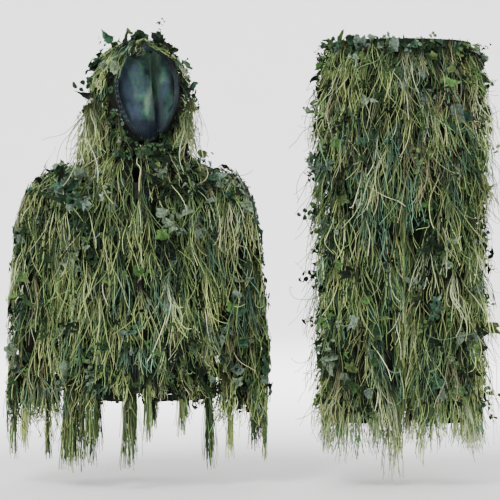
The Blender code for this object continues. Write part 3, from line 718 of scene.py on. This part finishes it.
class Strands:
    """Yarn, gathered bundle by bundle and then grown all together."""

    def __init__(self, seed):
        self.rng = np.random.default_rng(seed)
        self.sets = []

    def bundle(
        self, root, out, count, length, lean=0.0, fan=0.22, lift=0.60, mix="jacket", bright=1.0, straight=0.0
    ):
        """Strands from one root; fan is their spread, lift how far they stand off, straight stills them."""
        rng = self.rng
        across = unit(np.cross(out, DOWN))
        down = unit(np.cross(across, out))
        down = down * np.sign((down * DOWN).sum() + 1e-9)
        spread = lean + rng.normal(0, 0.10) + rng.normal(0, fan, count)
        rise = lift * rng.uniform(0.45, 1.5, count)
        way = np.cos(spread)[:, None] * down + np.sin(spread)[:, None] * across + rise[:, None] * out
        shades, shares = zip(*MIXES[mix])
        odds = np.array(shares) / sum(shares)
        main = shades[rng.choice(len(shades), p=odds)]
        other = np.array([shades[i] for i in rng.choice(len(shades), count, p=odds)])
        own = np.where(rng.random((count, 1)) < 0.72, np.array(main), other)
        own = own * rng.lognormal(-0.02, 0.44, (count, 1)) * rng.lognormal(0, 0.035, (count, 3))
        own = own * bright * rng.lognormal(0, 0.2)
        self.sets.append({
            "root": root + rng.normal(0, 0.0036, (count, 3)) + out * 0.0025, "way": unit(way),
            "length": length * rng.uniform(0.70, 1.15, count), "colour": own,
            "side": np.tile(across, (count, 1)),
            "wild": np.where(rng.random(count) < 0.012, 1.0, 0.0), "calm": np.full(count, straight),
        })

    def rows(self, tube, rows, arc, spacing, count, length, skip=None, **kinds):
        """Bundles at even spacing round each row; length may be a function of the root."""
        rng = self.rng
        angles = np.linspace(math.radians(arc[0]), math.radians(arc[1]), 60)
        for row, s in enumerate(rows):
            around = np.linalg.norm(np.diff(tube.at(s, angles), axis=0), axis=-1)
            measure = np.concatenate([[0], np.cumsum(around)])
            number = max(2, int(measure[-1] / spacing))
            places = (np.arange(number) + 0.5 + rng.uniform(-0.4, 0.4, number) + 0.25 * (row % 2)) / number
            for place in np.interp(np.clip(places, 0, 1) * measure[-1], measure, angles):
                down = max(s + rng.normal(0, 0.010), 0.002)
                root = tube.at(down, place)
                if skip is not None and skip(root):
                    continue
                far = length(root) if callable(length) else length
                lean = 0.16 * math.sin(root[0] * 23.0 + root[2] * 17.0) + rng.normal(0, 0.10)
                many, far = int(count * rng.uniform(0.7, 1.3)), far * rng.uniform(0.8, 1.2)
                self.bundle(root, tube.normal(down, place), many, far, lean, **kinds)

    def grow(self, tubes, keep):
        rng = self.rng
        data = {key: np.concatenate([s[key] for s in self.sets]) for key in self.sets[0]}
        count = len(data["root"])
        step = (data["length"] / (POINTS - 1))[:, None]
        wild, calm = data["wild"][:, None], data["calm"][:, None]
        curly = rng.random(count) < 0.28
        curl = np.where(curly, rng.normal(0, 0.75, count), rng.normal(0, 0.12, count))[:, None]
        bow = rng.normal(0, 0.075, count)[:, None]
        pull, wander = 0.23 - 0.17 * wild, (0.095 + 0.11 * wild) * (1 - 0.8 * calm)
        way, here = data["way"], data["root"].copy()
        drift = rng.normal(0, 1, (count, 3))
        line = [here]
        for k in range(1, POINTS):
            share = k / (POINTS - 1)
            drift = 0.66 * drift + 0.75 * rng.normal(0, 1, (count, 3))
            bend = (1 - calm) * bow * math.cos(1.2 * math.pi * share)
            way = unit(0.84 * way + pull * DOWN + wander * drift + bend * data["side"])
            if share > 0.6:
                way = unit(way + (1 - calm) * curl * np.cross(way, data["side"]) * (share - 0.5))
            there = here + step * way
            gap = 0.003 + (0.026 - 0.003) * share * rng.uniform(0.25, 1.0, count)
            for tube in tubes:
                there = tube.push(there, gap)
            if keep is not None:
                there = keep(there)
            there[:, 1] = np.clip(there[:, 1], -YARN_DEPTH, YARN_DEPTH)
            way = unit(0.6 * way + 0.4 * unit(there - here))
            here = there
            line.append(here)
        return np.stack(line, 1), data

    def mesh(self, name, tubes, keep=None):
        """Grows the strands clear of the tubes' cloth; keep moves points that are where they may not be."""
        points, data = self.grow(tubes, keep)
        for axis, sign, limit in LIMITS:
            past = np.maximum(sign * points[..., axis] - limit, 0.0)
            points[..., axis] -= sign * (past - SLACK * np.tanh(past / SLACK))
        share = np.linspace(0, 1, POINTS)
        own = YARN_RADIUS * self.rng.uniform(0.75, 1.20, (len(points), 1))
        # Painted shade and light: each strand is painted dark at its root, where the bundles above shade it,
        # and brighter than its own colour from about halfway out.
        shade = 0.10 + 1.12 * np.clip(share * 1.7, 0, 1)
        colours = data["colour"][:, None] * shade[None, :, None]
        return threads(name, points, own * (1.0 - 0.35 * share), data["side"], np.clip(colours, 0, 0.9), YARN)


# ---------------------------------------------------------------- leaves

GREENS = [
    linear(44, 66, 38), linear(30, 50, 30), linear(70, 104, 52), linear(88, 104, 92), linear(48, 78, 58),
    linear(104, 120, 98), linear(16, 25, 15), linear(84, 102, 58),
]
DARKS, GREYS, ALL = (6, 1, 0, 6), (3, 5, 3, 4), (0, 1, 2, 3, 4, 5, 6, 6, 7, 1)
LEAF_POINTS = 16


class Leaves:
    """Cloth leaves cut with lobes or round, each cupped and creased its own way."""

    def __init__(self, seed):
        self.rng = np.random.default_rng(seed)
        self.leaves = []

    def add(self, root, out, way, size, colour, lobed=True):
        self.leaves.append((root, out, way, size, colour, lobed))

    def scatter(self, tube, *sets, skip=None):
        """A set is a range along, an arc in degrees, a number, sizes, heights off the cloth and colours."""
        rng = self.rng
        for s_range, arc, number, sizes, lift, tints in sets:
            for _ in range(number):
                s, angle = rng.uniform(*s_range), math.radians(rng.uniform(*arc))
                root = tube.at(s, angle)
                if skip is not None and skip(root):
                    continue
                out = tube.normal(s, angle)
                root = root + out * rng.uniform(*lift)
                colour = np.array(GREENS[rng.choice(tints)]) * rng.lognormal(0, 0.25)
                self.spray(root, out, rng.uniform(*sizes), colour, rng.random() < 0.55)

    def spray(self, root, out, size, colour, lobed):
        """One lobed leaf, or a sprig of small round leaflets along a bending stem."""
        rng = self.rng
        tilt = unit(out + rng.normal(0, 0.55, 3))
        way = unit(DOWN * 0.7 + rng.normal(0, 0.75, 3) + 0.3 * out)
        if lobed:
            self.add(root, tilt, way, size, colour)
            return
        at = root.copy()
        for k in range(int(rng.integers(4, 8))):
            way = unit(way + rng.normal(0, 0.22, 3) + 0.12 * DOWN)
            at = at + way * size * 0.34
            aside = unit(np.cross(tilt, way)) * (1 if k % 2 else -1)
            own_tilt = unit(tilt + rng.normal(0, 0.3, 3))
            self.add(at, own_tilt, unit(way * 0.5 + aside), size * 0.42, colour, False)

    def mesh(self, name, keep=None):
        rng = self.rng
        root, out, way, size, colour, lobed = (np.array(column) for column in zip(*self.leaves))
        size, lobed, count = size[:, None], lobed[:, None], len(root)

        def each(low, high):
            return rng.uniform(low, high, (count, 1))

        turn = np.linspace(0, math.tau, LEAF_POINTS, endpoint=False)[None]
        lobes, phase = rng.integers(3, 6, (count, 1)), each(0, math.tau)
        cut = 1 + 0.16 * np.cos(lobes * turn + phase) + 0.11 * np.cos((2 * lobes + 1) * turn - phase)
        reach = np.where(lobed, cut, 1 + 0.05 * np.cos(2 * turn + phase)) * 0.46
        long, broad = each(1.0, 1.35), each(0.55, 0.85)
        way = unit(way - (way * out).sum(-1, keepdims=True) * out * 0.9)
        side = unit(np.cross(out, way))
        out = np.cross(way, side)
        cup, fold = rng.normal(0.6, 1.1, (count, 1)), rng.normal(0.40, 0.70, (count, 1))
        wave = each(0, 6)
        rings = (0.55, 1.0)
        down = [size * (0.5 * long + reach * share * long * np.cos(turn)) for share in rings]
        aside = [size * reach * share * broad * 1.5 * np.sin(turn) for share in rings]
        a, b = np.concatenate([size * 0.5 * long, *down], 1), np.concatenate([0 * size, *aside], 1)
        creases = 0.11 * size * np.sin(a / size * 9 + wave) * np.cos(b / size * 8 + 2 * wave)
        lift = -cup * (a - size * 0.4) ** 2 / size * 1.2 + fold * np.abs(b) + creases
        verts = root[:, None] + sum(f[..., None] * v[:, None] for f, v in ((a, way), (b, side), (lift, out)))
        if keep is not None:
            verts = keep(verts.reshape(-1, 3)).reshape(verts.shape)
        verts[..., 1] = np.clip(verts[..., 1], -LEAF_DEPTH, LEAF_DEPTH)
        verts[..., 0] = np.minimum(verts[..., 0], LEAF_RIGHT)
        per = 1 + 2 * LEAF_POINTS
        n, j = np.meshgrid(np.arange(count), np.arange(LEAF_POINTS), indexing="ij")
        nxt = (j + 1) % LEAF_POINTS
        inner, outer = n * per + 1, n * per + 1 + LEAF_POINTS
        fans = np.stack([n * per, inner + j, inner + nxt], -1).reshape(-1, 3)
        quads = np.stack([inner + j, outer + j, outer + nxt, inner + nxt], -1).reshape(-1, 4)
        cells = math.ceil(math.sqrt(count))
        flat = np.stack([a, b], -1) / (size[..., None] * 2.6) + [0.12, 0.5]
        cell = np.stack([np.arange(count) % cells, np.arange(count) // cells], -1)
        uv = ((np.clip(flat, 0.02, 0.98) + cell[:, None]) / cells).reshape(-1, 2)
        corners = np.concatenate([uv[fans].reshape(-1, 2), uv[quads].reshape(-1, 2)])
        obj = mesh_object(name, verts.reshape(-1, 3), [fans, quads], LEAF, corners=corners)
        own = colour[:, None] * np.ones((1, per, 1))
        own[:, 0] *= 0.7
        own[:, 1:1 + LEAF_POINTS] *= 0.85
        tint_mesh(obj, own.reshape(-1, 3))
        return obj


# ---------------------------------------------------------------- where yarn and leaves may be

PULL_HALF_WIDTH = 0.0085


def clear_of_zip(points, side=0):
    """Keeps points off the slider's path down the front, and on their own side of its pull."""
    x, y, z = points[:, 0], points[:, 1], points[:, 2]
    near = (np.abs(x) < 0.017) & (y < -0.09) & (y > -0.157) & (z < -0.085) & (z > -0.65)
    points[near, 1] = -0.157
    for top in (-0.055, -0.560):  # the pull swings out in front of the slider's two ends
        own = side or np.where(x < 0, -1, 1)
        crossed = (own * x < PULL_HALF_WIDTH) & (y < -0.09) & (z < top) & (z > top - 0.095)
        points[:, 0] = np.where(crossed, own * PULL_HALF_WIDTH, x)
    return points


def clear_of_face(points):
    """Keeps hood yarn and leaves out of the face opening."""
    flat = turned(points, -HOOD_TURN)
    rim = np.where(flat[:, 0] < 0.01, 0.001, RIM_RADIUS + 0.001)  # some falls over the rim's right flank
    reach = face_reach(flat[:, 0], flat[:, 2], rim)
    inside = (flat[:, 1] < 0.02) & (reach < 1.0)
    flat[:, 0] *= np.where(inside, 1.0 / np.maximum(reach, 0.3), 1.0)
    return turned(flat, HOOD_TURN)


def over_face(root):
    flat = turned(np.asarray(root)[None], -HOOD_TURN)[0]
    return flat[1] < 0.0 and face_reach(flat[0], flat[2], 0.009) < 1.0


def slim(points, side):
    """The shoulders slope: yarn and leaves on a sleeve stay near this line, seen from the front."""
    heights = (-0.90, -0.60, -0.52, -0.36, -0.24, -0.15, -0.07, 0.00)
    wides = (0.345, 0.345, 0.350, 0.332, 0.322, 0.304, 0.258, 0.200)
    edge = np.interp(points[:, 2], heights, wides) - (0.010 if side > 0 else 0.0)
    over = side * points[:, 0] - edge
    points[:, 0] -= side * np.where(over > 0, over * 0.75, 0.0)
    return points


def off_inseam(points, side):
    """Each leg's yarn stays on its own side of the middle."""
    inner = side * (points[:, 0] - TROUSERS_X) < 0.002
    points[inner, 0] = TROUSERS_X + side * 0.002
    return points


# ---------------------------------------------------------------- the suit's yarn

HEM_CLUMPS = (  # middle and half width
    (-0.155, 0.020), (-0.105, 0.016), (-0.030, 0.014), (0.045, 0.018), (0.135, 0.020), (0.175, 0.016),
)
HEM_LOCKS = (  # place and length below the hem
    (-0.185, 0.19), (-0.158, 0.20), (-0.120, 0.17), (-0.026, 0.18), (0.030, 0.11), (0.112, 0.10),
    (0.178, 0.18),
)
TRUNK_ROWS = (0.100, 0.165, 0.230, 0.300, 0.370, 0.440)
SLEEVE_ROWS = (0.130, 0.180, 0.240, 0.300, 0.360, 0.420, 0.480, 0.530)
LEG_ROWS = (0.055, 0.110, 0.170, 0.230, 0.290, 0.350, 0.410, 0.470, 0.530)
HIP_ROWS = (0.004, 0.050, 0.100, 0.150, 0.200, 0.250, 0.295)
HOOD_ROWS = (0.012, 0.045, 0.085, 0.125, 0.165, 0.205, 0.245)


def hem_length(root):
    """The bundles at the hem are longest in a few clumps, and on the wearer's right."""
    near = max(math.exp(-(((root[0] - x) / w) ** 2)) for x, w in HEM_CLUMPS)
    return 0.036 + 0.020 * near + (0.040 if root[0] < -0.115 else 0.0)


def cuff_length(root):
    return (0.045 if root[0] > 0 else 0.070) + 0.030 * math.sin(root[0] * 120.0 + root[1] * 60.0)


def ankle_length(root):
    """The fringe is longest on the wearer's right leg."""
    return 0.125 + 0.025 * math.sin(root[0] * 60.0) - 0.03 * (root[0] > TROUSERS_X)


def hood_length(root):
    """Short over the top and beside the face, long lower down and at the back."""
    x, y, z = turned(root[None], -HOOD_TURN)[0]
    if y > 0.06:
        return 0.12
    low, high = ((0.10, 0.17), (0.13, 0.075)) if x < 0 else ((0.08, 0.14), (0.11, 0.035))
    return float(np.interp(z, low, high))


def hem_lock(strands, x, far, face):
    """One long rope of yarn below the hem, strands close together."""
    angle = math.acos(max(-1.0, min(1.0, x / 0.205))) * face
    for s in (0.590, 0.615, 0.635):
        root, out = TRUNK.at(s, angle), TRUNK.normal(s, angle)
        strands.bundle(root, out, 18, (far + JACKET_LENGTH - s) * 0.95, fan=0.014, **LOCK)


def build_trunk_yarn():
    for part, word, arc, narrow, side, seed in (
        ("right_front", "right", (-91, -172), (-91, -154), -1, 101),
        ("left_front", "left", (-89, -8), (-89, -26), 1, 102),
        ("back", "back", (12, 168), (30, 150), 0, 103),
    ):
        strands = Strands(seed)
        strands.rows(TRUNK, (0.012, 0.050), arc, 0.036, 14, 0.150)
        strands.rows(TRUNK, TRUNK_ROWS, narrow, 0.043, 17, 0.165)
        strands.rows(TRUNK, (0.500, 0.550), narrow, 0.038, 13, 0.088)
        strands.rows(TRUNK, (0.590, 0.622), narrow, 0.026, 12, hem_length, lift=0.3, bright=0.85)
        for x, far in HEM_LOCKS:
            if not side or (x < 0) == (side < 0):
                hem_lock(strands, x, far, -1 if side else 1)
        obj = strands.mesh(f"{part}_yarn", [TRUNK, *SLEEVES.values()], lambda p: clear_of_zip(p, side))
        put(obj, [f"{part}_yarn_{n}" for n in (1, 2, 3)] + [f"{word}_hem_fringe"], "jacket")


def build_limb_yarn():
    for side, word in SIDES:
        sleeve, leg, strands = SLEEVES[word], LEGS[word], Strands(110 + side)
        strands.rows(sleeve, (0.054, 0.088), (-118, 118), 0.037, 14, 0.150)
        strands.rows(sleeve, (0.064, 0.076, 0.104), (-75, 75), 0.032, 11, 0.110)
        strands.rows(sleeve, SLEEVE_ROWS, (-168, 168), 0.042, 16, 0.160)
        strands.rows(sleeve, (0.560, 0.590), (-160, 160), 0.026, 12, cuff_length, fan=0.18, lift=0.25)
        for angle, far in ((-2.4, 0.15), (-1.2, 0.13), (-0.3, 0.16), (0.9, 0.12)):
            root, out = sleeve.at(0.59, angle), sleeve.normal(0.59, angle)
            strands.bundle(root, out, 36, far * 0.95, fan=0.016, **{**LOCK, "lift": 0.12})
        obj = strands.mesh(f"{word}_sleeve_tufts", [sleeve, TRUNK], lambda p: slim(p, side))
        put(obj, [f"{word}_sleeve_yarn", f"{word}_cuff_fringe"], f"{word}_sleeve")
        strands = Strands(120 + side)
        strands.rows(leg, LEG_ROWS, (-160, 160), 0.043, 15, 0.150)
        # Painted shade: on each leg's inner side, in the crease between the legs, the yarn is darker.
        for arc in ((-176, -140), (140, 176)):
            strands.rows(leg, LEG_ROWS[2:], arc, 0.026, 12, 0.130, bright=0.7, straight=0.5)
        looks = {"mix": "ankle", "straight": 0.6, "lift": 0.28, "fan": 0.12}
        strands.rows(leg, (0.565, 0.600), (-165, 165), 0.020, 15, ankle_length, **looks)
        obj = strands.mesh(f"{word}_leg_tufts", [leg], lambda p: off_inseam(p, side))
        put(obj, [f"{word}_leg_yarn", f"{word}_ankle_fringe"], f"{word}_leg")
    strands = Strands(130)
    for arc in ((-178, -2), (2, 178)):
        strands.rows(HIPS, HIP_ROWS, arc, 0.038, 13, 0.150)
    strands.rows(WAIST, (0.004, 0.018), (-176, -92), 0.026, 12, 0.100, lift=0.8)
    strands.rows(WAIST, (0.012,), (5, 178), 0.036, 10, 0.110)
    strands.rows(WAIST, (0.008, 0.024), (-92, -2), 0.028, 10, 0.090, lift=0.30)
    put(strands.mesh("hip_tufts", [HIPS]), ["front_hip_yarn", "back_hip_yarn"], "trousers")


def beside_face(degrees, grow):
    """A point of the hood's outer face just outside the face opening, and the way out of the cloth there."""
    up, aside = math.sin(math.radians(degrees)), math.cos(math.radians(degrees))
    x = (FACE_HALF_WIDTH * narrowed(up) + grow) * aside
    z = min(FACE_CENTRE_Z + ((FACE_TOP if up > 0 else FACE_CHIN) + grow) * up, HOOD_TOP - 0.004)
    wide, deep, centre = hood_oval(z)
    share = min(abs(x) / wide, 0.97)
    flat = np.array([[math.copysign(share * wide, x), centre - deep * math.sqrt(1 - share ** 2), z]])
    out = np.array([[math.copysign(share, x) / wide, -math.sqrt(1 - share ** 2) / deep, 0.0]])
    return turned(flat, HOOD_TURN)[0], unit(turned(out, HOOD_TURN))[0]


def curtain(strands, xs, zs, number, length, lean):
    """Long pale bundles hanging beside the face, over the shoulder."""
    for k in range(number):
        share = k / max(1, number - 1)
        x, z = xs[0] + (xs[1] - xs[0]) * share, zs[0] + (zs[1] - zs[0]) * ((k * 0.618) % 1)
        root = np.array([x, -0.085 - 0.02 * math.cos(share * 3), z])
        out = unit(np.array([0.5 * math.copysign(1, x), -1.0, 0.0]))
        strands.bundle(root, out, 17, length, lean, fan=0.12, lift=0.22, mix="light")


def build_hood_yarn():
    strands = Strands(140)
    strands.rows(HOOD, HOOD_ROWS, (-88, 268), 0.034, 12, hood_length, skip=over_face)
    for degrees in np.arange(-52, 232, 15):
        root, out = beside_face(degrees, 0.015 + 0.006 * strands.rng.random())
        lean = 0.5 * math.cos(math.radians(degrees))
        length, bright = (0.044, 0.85) if -25 < degrees < 168 else (0.095, 0.9)
        strands.bundle(root, out, 10, length, lean, fan=0.20, lift=0.30, bright=bright)
    curtain(strands, (-0.122, -0.092), (0.060, 0.140), 9, 0.175, -0.36)
    curtain(strands, (0.124, 0.134), (0.070, 0.135), 4, 0.130, 0.10)
    obj = strands.mesh("hood_tufts", [HOOD, TRUNK], clear_of_face)
    hood_blend(put(obj, ["hood_right_yarn", "hood_left_yarn", "hood_back_yarn"]))


# ---------------------------------------------------------------- the suit's leaves

UNDER = ((0.014, 0.028), (0.002, 0.014), DARKS)  # sizes, heights off the cloth and colours
LARGE = ((0.026, 0.040), (0.020, 0.034), GREYS)


def build_leaves():
    trunk = Leaves(201)
    for arc in ((-150, -30), (30, 150)):
        trunk.scatter(TRUNK, ((0.60, 0.640), arc, 60, (0.014, 0.026), (0.000, 0.014), DARKS))
    for arc in ((-166, -14), (14, 166)):
        over = ((0.00, 0.62), arc, 200, (0.018, 0.034), (0.012, 0.026), ALL)
        trunk.scatter(TRUNK, ((0.00, 0.64), arc, 330, *UNDER), over)
    trunk.scatter(
        TRUNK, ((0.02, 0.14), (-88, -30), 90, (0.014, 0.026), (0.014, 0.034), DARKS),
        ((0.00, 0.035), (-150, -30), 70, (0.012, 0.024), (0.004, 0.026), ALL),
        ((0.06, 0.20), (-60, -15), 22, *LARGE), ((0.06, 0.20), (-165, -125), 22, *LARGE),
    )
    put(trunk.mesh("jacket_leaves", clear_of_zip), body="jacket")
    for side, word in SIDES:
        arm, limb = Leaves(210 + side), Leaves(220 + side)
        arm.scatter(
            SLEEVES[word], ((0.05, 0.13), (-85, 85), 90, (0.014, 0.030), (0.004, 0.020), ALL),
            ((0.05, 0.62), (-150, 150), 260, *UNDER),
            ((0.03, 0.58), (-110, 110), 150, (0.018, 0.036), (0.016, 0.034), ALL),
            ((0.03, 0.20), (-80, 60), 26, *LARGE),
        )
        obj = arm.mesh(f"{word}_sleeve_leaves", lambda p: slim(p, side))
        put(obj, body=f"{word}_sleeve")
        limb.scatter(
            LEGS[word], ((0.02, 0.62), (-125, 125), 250, *UNDER),
            ((0.02, 0.60), (-120, 120), 190, (0.018, 0.034), (0.014, 0.032), ALL),
        )
        obj = limb.mesh(f"{word}_leg_leaves", lambda p: off_inseam(p, side))
        put(obj, body=f"{word}_leg")
    hips = Leaves(230)
    hips.scatter(
        HIPS, ((0.0, 0.31), (0, 360), 300, *UNDER),
        ((-0.02, 0.30), (0, 360), 250, (0.018, 0.035), (0.014, 0.032), ALL),
    )
    hips.scatter(
        WAIST, ((0.0, 0.03), (-178, -95), 60, (0.014, 0.026), (0.004, 0.020), ALL),
        ((0.004, 0.03), (-95, -2), 70, (0.012, 0.024), (0.003, 0.012), ALL),
        ((0.0, 0.03), (-10, 178), 60, (0.014, 0.026), (0.004, 0.020), ALL),
    )
    put(hips.mesh("hip_leaves"), body="trousers")
    hood = Leaves(240)
    hood.scatter(
        HOOD, ((0.01, 0.27), (-88, 268), 190, (0.014, 0.026), (0.002, 0.014), DARKS),
        ((0.00, 0.26), (-88, 268), 170, (0.020, 0.036), (0.012, 0.030), ALL), skip=over_face,
    )
    for degrees in np.arange(-85, 265, 5):
        root, out = beside_face(degrees, 0.012 + 0.014 * hood.rng.random())
        colour = np.array(GREENS[hood.rng.choice((0, 1, 3, 5, 6, 6, 4))]) * hood.rng.lognormal(0, 0.25)
        hood.spray(root + out * 0.004, out, hood.rng.uniform(0.012, 0.024), colour, hood.rng.random() < 0.7)
    hood_blend(put(hood.mesh("hood_leaves", clear_of_face)))


# ---------------------------------------------------------------- hardware

def finish_hardware():
    """The zip's parts and the elastics keep their CAD shapes, with better materials."""
    looks = {
        "zip_tape": TAPE, "zip_teeth": TEETH, "zip_bottom_box": TEETH, "zip_slider": METAL, "zip_pull": METAL,
        "elastic": ELASTIC, "hood_rim_cord": ELASTIC,
    }
    for node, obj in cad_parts.items():
        for ending, look in looks.items():
            if node.endswith(ending):
                for part in obj.material_slots:
                    part.material = look


# ---------------------------------------------------------------- studio

def build_studio():
    """A pale floor that curves up into a wall all round, wide enough for a camera on any side."""
    low, wide, bend, top, middle = -0.885, 14.0, 6.0, 7.0, 0.3
    turn = np.linspace(0, math.pi / 2, 12)
    profile = [(0.01, low), (wide - bend, low)]
    profile += [(wide - bend + bend * math.sin(t), low + bend * (1 - math.cos(t))) for t in turn[1:]]
    profile.append((wide, top))
    around = np.linspace(0, math.tau, 96, endpoint=False)
    verts = np.array([[(r * math.cos(a) + middle, r * math.sin(a), z) for a in around] for r, z in profile])
    paper = plain("floor", (0.90, 0.90, 0.90), 0.9, 3.0, spread=0.01)
    mesh_object("floor", verts.reshape(-1, 3), grid(*verts.shape[:2], ring=True)[0], paper)
    world = bpy.data.worlds.new("studio")
    bpy.context.scene.world = world
    world.use_nodes = True
    sky = world.node_tree.nodes["Background"]
    sky.inputs["Color"].default_value = (1.0, 1.0, 1.0, 1.0)
    sky.inputs["Strength"].default_value = 1.25
    for name, place, aim, watts, size in (
        ("key", (-1.4, -2.6, 3.0), (0.28, 0, -0.2), 170, 1.6),
        ("fill", (2.6, -3.0, 1.2), (0.28, 0, -0.3), 50, 2.4),
        ("rim", (0.3, 2.2, 2.8), (0.28, 0, 0.0), 50, 2.0),
        ("backdrop", (0.3, 2.0, 4.2), (0.3, 14.0, 0.6), 1700, 3.0),
    ):
        light = bpy.data.objects.new(name, bpy.data.lights.new(name, "AREA"))
        light.data.energy, light.data.size = watts, size
        light.visible_camera = False
        light.location = place
        light.rotation_euler = (Vector(aim) - Vector(place)).to_track_quat("-Z", "Y").to_euler()
        bpy.context.collection.objects.link(light)
    camera = bpy.data.objects.new("camera", bpy.data.cameras.new("camera"))
    camera.data.lens, camera.data.sensor_width = 122.6, 36.0
    camera.location = (0.2904, -4.5, -0.2696)
    camera.rotation_euler = (math.pi / 2, 0, 0)
    bpy.context.collection.objects.link(camera)
    bpy.context.scene.camera = camera


build_studio()
build_cloth()
build_hood()
build_trunk_yarn()
build_limb_yarn()
build_hood_yarn()
build_leaves()
finish_hardware()
